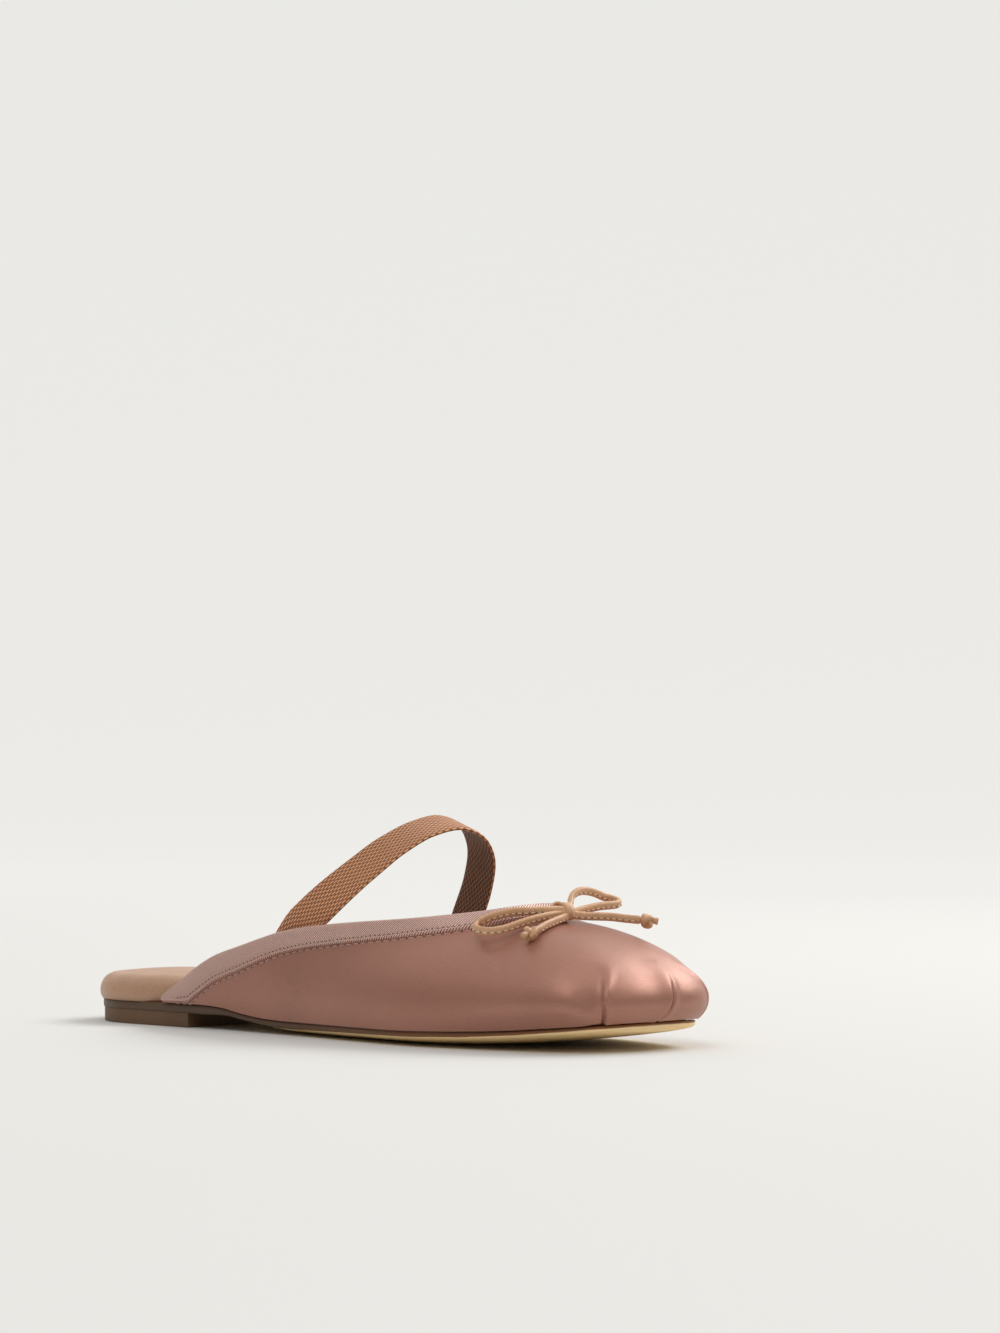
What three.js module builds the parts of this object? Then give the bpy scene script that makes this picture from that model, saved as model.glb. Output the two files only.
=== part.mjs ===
// Satin ballet mule, right shoe, in millimetres.
// +X points to the toe, +Y to the inner (big toe) side and +Z up. The shoe stands on z = 0, and its origin
// is the middle of its length and width there. Shapes are worked out from the back of the sole (x = 0)
// and moved to that origin at the end.

import * as THREE from "three";

// Sole
const SOLE_LENGTH = 250;
const HEEL_WIDTH = 54.6;
const WAIST_WIDTH = 52.5;
const BALL_WIDTH = 74.6;
const TOE_WIDTH = 50;
const HEEL_CAP = 27; // length over which the outline rounds off at the heel
const TOE_CAP = 22; // the same at the toe
const HEEL_SEAT = 7.9; // height of the sole's top edge over the heel block
const BALL_EDGE = 4.6; // height of the sole's top edge at the ball
const TOE_EDGE = 9.2; // height of the sole's top edge at the toe tip
const SOLE_EDGE_HEEL = 3; // thickness of the sole's edge over the heel block
const SOLE_EDGE = 1.9; // thickness of the sole's edge from the waist to the toe
const HEEL_BLOCK_LENGTH = 61;
const HEEL_BLOCK_INSET = 0.4;

// Footbed
const FOOTBED_HEEL = 9.3; // thickness
const FOOTBED_BALL = 3.2;
const FOOTBED_OVERHANG = 1.2; // of its rim past the back of the heel
const FOOTBED_RIM = 3.4; // radius of its rounded rim
const FOOTBED_CROWN = 1.1; // rise of its middle over its rim

// Upper
const WALL = 1.4;
const QUARTER_START = 49; // from the back of the sole to the rear ends of the quarters
const QUARTER_END_HEIGHT = 2.2; // of those ends
const THROAT_POINT = 201.5; // from the back of the sole to the middle of the throat
const THROAT_HEIGHT = 44.4;
const THROAT_CAP = 60; // length over which the topline rounds off at the throat
const THROAT_OFFSET = 2; // of its middle, to the inner side
const TOPLINE_WIDTH = 58; // across the quarters, outside
const LIP_HEIGHT = 4.2; // how far the edge of the throat stands up from the vamp
const LIP_LENGTH = 12; // length of that upturn, down from the topline
const FOOT_OVERHANG = 0.8; // of the upper past the sole's edge, where it meets the sole
const TOE_FULLNESS = 13.6; // how strongly the toe swells out over the sole's edge

// Binding
const BINDING_WIDTH = 9; // at the rear ends of the quarters
const TAPE = 0.8;

// Instep strap
const STRAP_WIDTH = 14;
const STRAP_THICKNESS = 1.2;
const STRAP_RISE = 33.6; // of its middle line over its two seats on the topline
const STRAP_LEAN = 21.5; // how far its top stands forward of them
const STRAP_SEAT_OUTER = 113; // from the back of the sole to the middle of the strap, on the topline
const STRAP_SEAT_INNER = 143;
const STRAP_TUCK = 8; // how far it runs down inside the quarters

// Lace bow
const LACE = 2.2; // thickness
const KNOT_RADIUS = 3.2;
const KNOT_SEAT = 10.85; // from the topline down to the middle of the knot
const KNOT_LIFT = 3.15; // of its middle over the vamp
const STOPPER_RADIUS = 2;

const GAP = 0.3; // between pieces that are sewn or glued to each other

// Outline of the sole: shares of its length, the width there and the outer side's share of that width.
const OUTLINE = [
  { at: 0.0, width: 0.985 * HEEL_WIDTH, outer: 0.5 },
  { at: 0.12, width: 1.0 * HEEL_WIDTH, outer: 0.505 },
  { at: 0.24, width: 0.985 * HEEL_WIDTH, outer: 0.515 },
  { at: 0.38, width: 1.0 * WAIST_WIDTH, outer: 0.545 },
  { at: 0.5, width: 1.07 * WAIST_WIDTH, outer: 0.56 },
  { at: 0.62, width: 0.885 * BALL_WIDTH, outer: 0.545 },
  { at: 0.72, width: 1.0 * BALL_WIDTH, outer: 0.505 },
  { at: 0.82, width: 0.965 * BALL_WIDTH, outer: 0.475 },
  { at: 0.92, width: 1.21 * TOE_WIDTH, outer: 0.455 },
  { at: 1.0, width: 1.0 * TOE_WIDTH, outer: 0.445 },
];
const HEEL_ROUNDNESS = 2.15; // 2 is an ellipse, more is squarer
const TOE_ROUNDNESS = 3;
const TOE_SKEW = 0.07; // slant of the toe towards the inner side

// Height of the sole's top edge, with the waist and the toe spring.
const EDGE_HEIGHT = [
  { at: 0.0, z: 1.0 * HEEL_SEAT },
  { at: 0.2, z: 1.0 * HEEL_SEAT },
  { at: 0.28, z: 1.0 * HEEL_SEAT },
  { at: 0.32, z: 0.93 * HEEL_SEAT },
  { at: 0.36, z: 0.74 * HEEL_SEAT },
  { at: 0.41, z: 1.03 * BALL_EDGE },
  { at: 0.47, z: 0.97 * BALL_EDGE },
  { at: 0.6, z: 1.0 * BALL_EDGE },
  { at: 0.72, z: 1.05 * BALL_EDGE },
  { at: 0.84, z: 1.28 * BALL_EDGE },
  { at: 0.92, z: 0.8 * TOE_EDGE },
  { at: 1.0, z: 1.0 * TOE_EDGE },
];

// Thickness of the sole's edge, and how far its middle bellies down below that edge, as a share of the
// ball edge's height.
const UNDERSIDE = [
  { at: 0.0, edge: 1.0 * SOLE_EDGE_HEEL, belly: 0.0 },
  { at: 0.25, edge: 1.0 * SOLE_EDGE_HEEL, belly: 0.0 },
  { at: 0.28, edge: 1.0 * SOLE_EDGE_HEEL, belly: 0.0 },
  { at: 0.34, edge: 0.4 * (SOLE_EDGE_HEEL + SOLE_EDGE), belly: 0.3 },
  { at: 0.44, edge: 1.0 * SOLE_EDGE, belly: 0.6 },
  { at: 0.6, edge: 1.0 * SOLE_EDGE, belly: 0.68 },
  { at: 0.76, edge: 1.0 * SOLE_EDGE, belly: 0.68 },
  { at: 0.9, edge: 1.0 * SOLE_EDGE, belly: 0.45 },
  { at: 1.0, edge: 1.0 * SOLE_EDGE, belly: 0.2 },
];

// Footbed: how far it stands out past the sole's outline, and its thickness.
const FOOTBED_INSET = WALL - FOOT_OVERHANG + TAPE + 4.5 * GAP;
const FOOTBED_STEP = 0.3 * QUARTER_START; // length over which its rim draws in ahead of the quarters
const FOOTBED = [
  { at: 0.0, thick: 1.0 * FOOTBED_HEEL },
  { at: 0.3, thick: 0.95 * FOOTBED_HEEL },
  { at: 0.55, thick: 1.1 * FOOTBED_BALL },
  { at: 1.0, thick: 1.0 * FOOTBED_BALL },
];

// Topline, from the rear ends of the quarters to the throat: rise from one to the other, width, and the
// outer side's share of that width.
const QUARTER_WIDTH = 0.985 * HEEL_WIDTH + 2 * FOOT_OVERHANG;
const TOPLINE = [
  { at: 0.0, rise: 0.0, width: 1.0 * QUARTER_WIDTH, outer: 0.506 },
  { at: 0.06, rise: 0.147, width: 1.005 * QUARTER_WIDTH, outer: 0.507 },
  { at: 0.12, rise: 0.29, width: 0.988 * TOPLINE_WIDTH, outer: 0.511 },
  { at: 0.185, rise: 0.42, width: 0.988 * TOPLINE_WIDTH, outer: 0.518 },
  { at: 0.27, rise: 0.527, width: 0.986 * TOPLINE_WIDTH, outer: 0.524 },
  { at: 0.385, rise: 0.665, width: 0.986 * TOPLINE_WIDTH, outer: 0.524 },
  { at: 0.47, rise: 0.731, width: 0.997 * TOPLINE_WIDTH, outer: 0.519 },
  { at: 0.56, rise: 0.775, width: 1.01 * TOPLINE_WIDTH, outer: 0.512 },
  { at: 0.66, rise: 0.815, width: 1.014 * TOPLINE_WIDTH, outer: 0.503 },
  { at: 0.79, rise: 0.862, width: 1.0 * TOPLINE_WIDTH, outer: 0.493 },
  { at: 0.925, rise: 0.93, width: 0.976 * TOPLINE_WIDTH, outer: 0.488 },
  { at: 1.0, rise: 1.0, width: 0.957 * TOPLINE_WIDTH, outer: 0.486 },
];
const THROAT_ROUNDNESS = 2.15;

// Sections of the upper, from the toe (0) to the rear end of a quarter (1). Each is one curve from the
// sole's edge up to the topline: swell is its bulge at the foot, as a share of the toe's, and lift is the
// share of the height that the bulge is drawn up. reach and drop lead the curve into the topline, as
// shares of the section's width and height. lip is the share of the throat's upturned edge.
const SECTIONS = [
  { at: 0.0, swell: 1.0, lift: 0.36, reach: 0.62, drop: 0.01, lip: 1.0 },
  { at: 0.1, swell: 1.0, lift: 0.36, reach: 0.62, drop: 0.01, lip: 1.0 },
  { at: 0.2, swell: 0.92, lift: 0.38, reach: 0.6, drop: 0.05, lip: 1.0 },
  { at: 0.35, swell: 0.42, lift: 0.5, reach: 0.46, drop: 0.15, lip: 0.5 },
  { at: 0.55, swell: 0.2, lift: 0.5, reach: 0.3, drop: 0.25, lip: 0.1 },
  { at: 0.8, swell: 0.14, lift: 0.4, reach: 0.1, drop: 0.33, lip: 0.0 },
  { at: 1.0, swell: 0.03, lift: 0.33, reach: 0.0, drop: 0.33, lip: 0.0 },
];
const FAN = 1.65; // how the sections crowd together towards the throat

// Width of the binding that shows outside, by place round the upper as in SECTIONS.
const BINDING = [
  { at: 0.0, width: 0.76 * BINDING_WIDTH },
  { at: 0.2, width: 0.77 * BINDING_WIDTH },
  { at: 0.32, width: 0.77 * BINDING_WIDTH },
  { at: 0.42, width: 0.71 * BINDING_WIDTH },
  { at: 0.53, width: 0.67 * BINDING_WIDTH },
  { at: 0.65, width: 0.69 * BINDING_WIDTH },
  { at: 0.77, width: 0.76 * BINDING_WIDTH },
  { at: 0.87, width: 0.91 * BINDING_WIDTH },
  { at: 1.0, width: 1.0 * BINDING_WIDTH },
];

// Middle line of the strap between its two seats: share of the way across, rise and forward lean as
// shares of the strap's own, and the slope of its width in degrees, front edge down.
const STRAP = [
  { across: 0, rise: 0.119, lean: 0.219, slope: 40.5 },
  { across: 0.06, rise: 0.366, lean: 0.572, slope: 31 },
  { across: 0.175, rise: 0.609, lean: 0.794, slope: 19.5 },
  { across: 0.315, rise: 0.837, lean: 0.965, slope: 14 },
  { across: 0.48, rise: 0.981, lean: 0.994, slope: 13.5 },
  { across: 0.66, rise: 1.021, lean: 0.918, slope: 17.5 },
  { across: 0.83, rise: 0.917, lean: 0.742, slope: 20.5 },
  { across: 0.96, rise: 0.684, lean: 0.48, slope: 19.7 },
  { across: 1.01, rise: 0.37, lean: 0.223, slope: 21 },
];

// Lace: points from the middle of the knot, forward, to the inner side and up.
const LOOP_OUTER = [
  [-1.5, -4.0, 0.6],
  [-3.9, -8.6, 0.6],
  [-6.0, -12.3, 0.4],
  [-9.1, -16.1, 0.2],
  [-12.0, -20.1, -0.7],
  [-14.6, -23.9, -2.2],
  [-15.4, -26.6, -3.6],
  [-14.2, -28.6, -4.6],
  [-11.8, -29.7, -5.2],
  [-9.4, -29.4, -5.5],
  [-6.7, -27.0, -5.4],
  [-4.9, -23.4, -4.6],
  [-3.8, -19.3, -3.4],
  [-2.6, -14.7, -2.2],
  [-1.5, -9.7, -1.3],
  [-1.0, -5.4, -0.8],
];
const LOOP_INNER = [
  [-1.8, 2.6, 2.6],
  [-2.8, 4.0, 4.4],
  [-3.1, 6.4, 5.9],
  [-2.9, 9.8, 6.5],
  [-2.2, 14.2, 5.8],
  [-1.6, 18.2, 4.4],
  [-0.9, 20.6, 3.7],
  [0.5, 21.9, 2.9],
  [1.9, 21.3, 2.3],
  [2.4, 18.8, 1.9],
  [1.8, 13.1, 1.6],
  [1.1, 8.5, 1.0],
  [0.6, 3.9, 0.2],
];
const TAIL_OUTER = [
  [1.2, -3.8, -1.7],
  [2.2, -8.8, -2.6],
  [3.3, -14.4, -3.8],
  [4.2, -18.5, -5.0],
];
const TAIL_INNER = [
  [2.3, 3.0, -1.2],
  [4.0, 5.6, -1.4],
  [5.9, 8.6, -1.5],
  [7.8, 11.9, -1.7],
  [10.5, 14.9, -2.2],
  [14.6, 18.4, -2.7],
];

// Value of a table's column at x, as a smooth curve through its rows.
function read(table, column, x) {
  const last = table.length - 1;
  const t = Math.min(Math.max(x, table[0].at), table[last].at);
  let i = 0;
  while (i < last - 1 && t >= table[i + 1].at) i += 1;
  const slope = (k) => {
    const a = table[Math.max(k - 1, 0)];
    const b = table[Math.min(k + 1, last)];
    return (b[column] - a[column]) / (b.at - a.at);
  };
  const h = table[i + 1].at - table[i].at;
  const s = (t - table[i].at) / h;
  const s2 = s * s;
  const s3 = s2 * s;
  return (
    (2 * s3 - 3 * s2 + 1) * table[i][column] +
    (s3 - 2 * s2 + s) * h * slope(i) +
    (3 * s2 - 2 * s3) * table[i + 1][column] +
    (s3 - s2) * h * slope(i + 1)
  );
}

function running(points) {
  const sums = [0];
  for (let i = 1; i < points.length; i += 1) sums.push(sums[i - 1] + points[i].distanceTo(points[i - 1]));
  return sums;
}

// Point at a length along a polyline whose running lengths are known.
function along(points, sums, length) {
  let i = 1;
  while (i < points.length - 1 && sums[i] < length) i += 1;
  const share = (length - sums[i - 1]) / (sums[i] - sums[i - 1]);
  return points[i - 1].clone().lerp(points[i], Math.min(Math.max(share, 0), 1));
}

const OUTER = -1;
const INNER = 1;

const edgeHeight = (x) => read(EDGE_HEIGHT, "z", x / SOLE_LENGTH);

// Point of the sole's outline on one side. turn runs from 0 at the toe tip to 1 at the back of the heel.
const TOE_TURN = 0.2;
const HEEL_TURN = 0.8;
function outlinePoint(side, turn) {
  let x;
  let full = 1;
  if (turn < TOE_TURN) {
    const angle = (Math.PI / 2) * (1 - turn / TOE_TURN);
    x = SOLE_LENGTH - TOE_CAP + TOE_CAP * Math.sin(angle) ** (2 / TOE_ROUNDNESS);
    full = Math.max(Math.cos(angle), 0) ** (2 / TOE_ROUNDNESS);
  } else if (turn <= HEEL_TURN) {
    const share = (turn - TOE_TURN) / (HEEL_TURN - TOE_TURN);
    x = SOLE_LENGTH - TOE_CAP - share * (SOLE_LENGTH - TOE_CAP - HEEL_CAP);
  } else {
    const angle = (Math.PI / 2) * ((1 - turn) / (1 - HEEL_TURN));
    x = HEEL_CAP - HEEL_CAP * Math.cos(angle) ** (2 / HEEL_ROUNDNESS);
    full = Math.sin(angle) ** (2 / HEEL_ROUNDNESS);
  }
  if (turn === 0 || turn === 1) full = 0;
  const width = read(OUTLINE, "width", x / SOLE_LENGTH);
  const middle = width * (0.5 - read(OUTLINE, "outer", x / SOLE_LENGTH));
  const y = side * (width / 2) * full;
  return new THREE.Vector2(x + TOE_SKEW * y * (x / SOLE_LENGTH) ** 10, middle + y);
}

const FINE = 400;
function outlineSide(side) {
  const points = [];
  for (let i = 0; i <= FINE; i += 1) points.push(outlinePoint(side, i / FINE));
  return { points, sums: running(points) };
}
const SIDES = new Map([
  [OUTER, outlineSide(OUTER)],
  [INNER, outlineSide(INNER)],
]);

// Length along one side's outline, from the toe tip back to x.
function outlineLength(side, x) {
  const { points, sums } = SIDES.get(side);
  let i = 1;
  while (i < points.length - 1 && points[i].x > x) i += 1;
  const share = (points[i - 1].x - x) / (points[i - 1].x - points[i].x);
  return sums[i - 1] + share * (sums[i] - sums[i - 1]);
}

// Point and outward direction of the outline at a length from the toe tip, which may run on past the tip.
function outlineAt(side, length) {
  const at = (l) => {
    const s = l < 0 ? -side : side;
    const { points, sums } = SIDES.get(s);
    return along(points, sums, Math.abs(l));
  };
  const reach = SOLE_LENGTH / 400;
  const direction = at(length + reach).sub(at(length - reach)).normalize();
  return { point: at(length), out: new THREE.Vector2(-direction.y, direction.x).multiplyScalar(-side) };
}

// Topline on one side, from the throat back to the rear end of the quarter.
function toplineSide(side) {
  const points = [];
  const run = THROAT_POINT - QUARTER_START;
  for (let i = 0; i <= FINE; i += 1) {
    const turn = i / FINE;
    let x;
    let full = 1;
    if (turn < 0.5) {
      const angle = (Math.PI / 2) * (1 - turn / 0.5);
      x = THROAT_POINT - THROAT_CAP + THROAT_CAP * Math.sin(angle) ** (2 / THROAT_ROUNDNESS);
      full = i === 0 ? 0 : Math.cos(angle) ** (2 / THROAT_ROUNDNESS);
    } else {
      x = THROAT_POINT - THROAT_CAP - (turn / 0.5 - 1) * (run - THROAT_CAP);
    }
    const at = (x - QUARTER_START) / run;
    const outer = read(TOPLINE, "outer", at);
    const half = read(TOPLINE, "width", at) * (side === OUTER ? outer : 1 - outer);
    const low = edgeHeight(QUARTER_START) + QUARTER_END_HEIGHT;
    const z = low + read(TOPLINE, "rise", at) * (THROAT_HEIGHT - low);
    points.push(new THREE.Vector3(x, side * half * full + THROAT_OFFSET * (1 - full), z));
  }
  return { points, sums: running(points) };
}
const TOPLINES = new Map([
  [OUTER, toplineSide(OUTER)],
  [INNER, toplineSide(INNER)],
]);

// Section of the upper's outside. around runs from -1, the rear end of the outer quarter, through 0 at
// the toe to 1, the rear end of the inner quarter.
function section(around) {
  const side = around < 0 ? OUTER : INNER;
  const share = Math.abs(around);
  const foot = outlineAt(side, share * outlineLength(side, QUARTER_START));
  const line = TOPLINES.get(side);
  const top = along(line.points, line.sums, share ** FAN * line.sums[FINE]);
  const swell = TOE_FULLNESS * read(SECTIONS, "swell", share);
  const low = foot.point.clone().addScaledVector(foot.out, FOOT_OVERHANG);
  const bulge = low.clone().addScaledVector(foot.out, swell);
  const z = edgeHeight(foot.point.x) + GAP;
  const lip = LIP_HEIGHT * read(SECTIONS, "lip", share);
  top.z -= lip;
  const rise = top.z - z;
  const reach = read(SECTIONS, "reach", share);
  const curve = new THREE.CubicBezierCurve3(
    new THREE.Vector3(low.x, low.y, z),
    new THREE.Vector3(bulge.x, bulge.y, z + read(SECTIONS, "lift", share) * rise),
    new THREE.Vector3(
      top.x - reach * (top.x - low.x),
      top.y - reach * (top.y - low.y),
      top.z - read(SECTIONS, "drop", share) * rise,
    ),
    top,
  );
  const points = curve.getPoints(48);
  const bare = running(points);
  points.forEach((point, i) => {
    point.z += lip * Math.max(1 - (bare.at(-1) - bare[i]) / LIP_LENGTH, 0) ** 1.8;
  });
  return { points, sums: running(points), out: foot.out };
}

// Point of the upper's outside at a length down from the topline.
function skinPoint(around, down) {
  const cut = section(around);
  const whole = cut.sums.at(-1);
  return along(cut.points, cut.sums, whole - down);
}

// Direction out of the upper's outside at a point given as a share of the way up.
function skinNormal(around, up) {
  const step = 0.004;
  const at = (a, u) => {
    const cut = section(Math.min(Math.max(a, -1), 1));
    return along(cut.points, cut.sums, u * cut.sums.at(-1));
  };
  const lengthwise = at(around + step, up).sub(at(around - step, up));
  const upward = at(around, Math.min(up + step * 3, 1)).sub(at(around, Math.max(up - step * 3, 0)));
  return new THREE.Vector3().crossVectors(upward, lengthwise).normalize().negate();
}

// Point near the upper's skin: a length down from the topline, or past its edge if negative, and a
// distance off the outside.
function tapePoint(around, down, off) {
  const cut = section(around);
  const whole = cut.sums.at(-1);
  const normal = skinNormal(around, Math.max(whole - down, 0) / whole);
  const point = skinPoint(around, Math.max(down, 0));
  if (down < 0) {
    const top = cut.points.at(-1);
    const lead = top.clone().sub(cut.points.at(-3)).normalize();
    point.addScaledVector(lead, -down);
  }
  return point.addScaledVector(normal, off);
}

// Length down a section that gives the binding its width, also where the topline runs steeply.
function tapeDepth(around) {
  const width = read(BINDING, "width", Math.abs(around));
  const step = 0.003;
  const a = skinPoint(Math.max(around - step, -1), 0);
  const b = skinPoint(Math.min(around + step, 1), 0);
  const lead = b.sub(a).normalize();
  const fall = skinPoint(around, 0).sub(skinPoint(around, 1)).normalize();
  const cut = section(around);
  const sine = Math.sqrt(1 - lead.dot(fall) ** 2);
  return Math.min(width / sine, cut.sums.at(-1) - 2 * GAP);
}

// Closed mesh from a list of vertices and triangles.
function solid(name, points, triangles, look) {
  const geometry = new THREE.BufferGeometry();
  geometry.setAttribute("position", new THREE.Float32BufferAttribute(points.flatMap((p) => p.toArray()), 3));
  geometry.setIndex(triangles.flat());
  return piece(name, geometry, look);
}

function piece(name, geometry, look) {
  geometry.computeVertexNormals();
  const mesh = new THREE.Mesh(geometry, new THREE.MeshStandardMaterial(look));
  mesh.name = name;
  return mesh;
}

// Closed mesh through a row of rings with the same even number of points. The first half of a ring is one
// face of a thin wall and the second half comes back along the other, so the two ends close as strips.
// Each quad is cut along its shorter diagonal, so faces that lie on each other bend the same way.
function sweep(name, rings, look) {
  const count = rings[0].length;
  const triangles = [];
  const points = rings.flat();
  const at = (ring, k) => ring * count + (k % count);
  for (let r = 0; r < rings.length - 1; r += 1) {
    for (let k = 0; k < count; k += 1) {
      const [a, b, c, d] = [at(r, k), at(r + 1, k), at(r + 1, k + 1), at(r, k + 1)];
      if (points[a].distanceTo(points[c]) < points[b].distanceTo(points[d])) {
        triangles.push([a, b, c], [a, c, d]);
      } else {
        triangles.push([a, b, d], [b, c, d]);
      }
    }
  }
  const end = rings.length - 1;
  for (let k = 0; k < count / 2 - 1; k += 1) {
    const back = count - 1 - k;
    triangles.push([at(0, k), at(0, k + 1), at(0, back - 1)], [at(0, k), at(0, back - 1), at(0, back)]);
    triangles.push([at(end, k), at(end, back - 1), at(end, k + 1)], [at(end, k), at(end, back), at(end, back - 1)]);
  }
  return solid(name, points, triangles, look);
}

// Closed plate over the sole's outline. Each level is a closed ring: how far it stands out past the
// outline and its height, both functions of x. top and bottom give the height of the two faces from x and
// the share across, -1 to 1.
const STATIONS = 40;
const ACROSS = 6;
function plate(name, levels, bottom, top, look) {
  const turns = [];
  for (let i = 0; i <= STATIONS; i += 1) {
    const share = i / STATIONS;
    turns.push(share + 0.045 * Math.sin(2 * Math.PI * share) * -1);
  }
  const edge = (side, turn, level) => {
    const bare = outlinePoint(side, turn);
    const { point, out } = outlineAt(side, outlineLengthAtTurn(side, turn));
    const x = bare.x;
    const moved = point.addScaledVector(out, level.out(x));
    return new THREE.Vector3(moved.x, moved.y, level.z(x));
  };
  const points = [];
  const triangles = [];
  const add = (p) => points.push(p) - 1;
  const rings = levels.map((level) => {
    const outer = turns.map((turn, i) => add(edge(OUTER, turn, level)));
    const inner = turns.map((turn, i) =>
      i === 0 || i === STATIONS ? outer[i] : add(edge(INNER, turn, level)),
    );
    return { outer, inner };
  });
  for (let r = 0; r < rings.length - 1; r += 1) {
    const low = rings[r];
    const high = rings[r + 1];
    for (let i = 0; i < STATIONS; i += 1) {
      triangles.push([low.outer[i], high.outer[i], high.outer[i + 1]]);
      triangles.push([low.outer[i], high.outer[i + 1], low.outer[i + 1]]);
      triangles.push([low.inner[i], high.inner[i + 1], high.inner[i]]);
      triangles.push([low.inner[i], low.inner[i + 1], high.inner[i + 1]]);
    }
  }
  const face = (ring, height, up) => {
    const rows = ring.outer.map((outer, i) => {
      if (i === 0 || i === STATIONS) return [outer];
      const row = [outer];
      for (let k = 1; k < ACROSS; k += 1) {
        const p = points[outer].clone().lerp(points[ring.inner[i]], k / ACROSS);
        const turn = turns[i];
        p.z = height(outlinePoint(OUTER, turn).x, (2 * k) / ACROSS - 1);
        row.push(add(p));
      }
      row.push(ring.inner[i]);
      return row;
    });
    const put = (a, b, c) => triangles.push(up ? [a, b, c] : [a, c, b]);
    for (let i = 0; i < STATIONS; i += 1) {
      const here = rows[i];
      const next = rows[i + 1];
      for (let k = 0; k < ACROSS; k += 1) {
        if (here.length > 1) put(here[k], here[k + 1], next[Math.min(k, next.length - 1)]);
        if (next.length > 1) put(here[Math.min(k + 1, here.length - 1)], next[k + 1], next[k]);
      }
    }
  };
  face(rings[0], bottom, false);
  face(rings.at(-1), top, true);
  return solid(name, points, triangles, look);
}

function outlineLengthAtTurn(side, turn) {
  const { sums } = SIDES.get(side);
  const i = Math.min(Math.floor(turn * FINE), FINE - 1);
  return sums[i] + (turn * FINE - i) * (sums[i + 1] - sums[i]);
}

const LOOKS = {
  edge: { color: 0x55463a, roughness: 0.55, metalness: 0 },
  tan: { color: 0xbf9a7c, roughness: 0.5, metalness: 0 },
  satin: { color: 0xb48b80, roughness: 0.35, metalness: 0 },
  tape: { color: 0xa98583, roughness: 0.6, metalness: 0 },
  strap: { color: 0x9a6a48, roughness: 0.8, metalness: 0 },
  lace: { color: 0xb9936a, roughness: 0.55, metalness: 0 },
};

// Outsole: a brown edge round a natural leather face that bellies down to the ground at the ball.
const underside = (column, x) => read(UNDERSIDE, column, x / SOLE_LENGTH);
const rimBottom = (x) => edgeHeight(x) - underside("edge", x);
const EDGE_CHAMFER = 0.5;
const outsole = plate(
  "outsole",
  [
    { out: () => -EDGE_CHAMFER, z: (x) => rimBottom(x) },
    { out: () => 0, z: (x) => rimBottom(x) + EDGE_CHAMFER },
    { out: () => 0, z: (x) => edgeHeight(x) },
  ],
  (x, across) => {
    const belly = underside("belly", x) * BALL_EDGE * (1 - Math.abs(across) ** 2.6) ** 0.8;
    return Math.max(rimBottom(x) - belly, 0);
  },
  (x) => edgeHeight(x),
  LOOKS.edge,
);

// Heel block: the sole's outline, drawn in a little, with a straight breast.
function heelShape() {
  const points = [];
  for (const side of [OUTER, INNER]) {
    const back = SIDES.get(side).sums[FINE];
    const front = outlineLength(side, HEEL_BLOCK_LENGTH);
    const row = [];
    for (let i = 0; i <= 22; i += 1) {
      const share = i / 22;
      const length = front + (back - front) * share ** 0.8;
      const { point, out } = outlineAt(side, Math.min(length, back - SOLE_LENGTH / 300));
      row.push(point.addScaledVector(out, -HEEL_BLOCK_INSET));
    }
    points.push(...(side === OUTER ? row : row.reverse()));
  }
  return new THREE.Shape(points);
}
const heel = piece(
  "heel",
  new THREE.ExtrudeGeometry(heelShape(), { depth: HEEL_SEAT - SOLE_EDGE_HEEL - GAP, bevelEnabled: false }),
  LOOKS.edge,
);

// Footbed: it stands out over the heel, and draws in to run between the walls of the upper.
const footbedOut = (x) => {
  const start = QUARTER_START - FOOTBED_STEP;
  const share = Math.min(Math.max((x - start) / (FOOTBED_STEP - GAP), 0), 1);
  const eased = share * share * (3 - 2 * share);
  return FOOTBED_OVERHANG * (1 - eased) - FOOTBED_INSET * eased;
};
const footbedThick = (x) => read(FOOTBED, "thick", x / SOLE_LENGTH);
const footbedLevel = (inset, share) => ({
  out: (x) => footbedOut(x) - inset * FOOTBED_RIM * (footbedThick(x) / FOOTBED_HEEL),
  z: (x) => edgeHeight(x) + GAP + share * footbedThick(x),
});
const insole = plate(
  "insole",
  [
    footbedLevel(0.25, 0),
    footbedLevel(0.04, 0.16),
    footbedLevel(0, 0.38),
    footbedLevel(0.12, 0.64),
    footbedLevel(0.4, 0.85),
    footbedLevel(0.85, 0.97),
    footbedLevel(1.5, 1),
  ],
  (x) => edgeHeight(x) + GAP,
  (x, across) => {
    const ends = Math.max(1 - x / HEEL_CAP, 0) ** 2 + Math.max(1 - (SOLE_LENGTH - x) / TOE_CAP, 0) ** 2;
    const crown = FOOTBED_CROWN * (footbedThick(x) / FOOTBED_HEEL) * (1 - across ** 2) * (1 - ends);
    return edgeHeight(x) + GAP + footbedThick(x) + crown;
  },
  LOOKS.tan,
);

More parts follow.
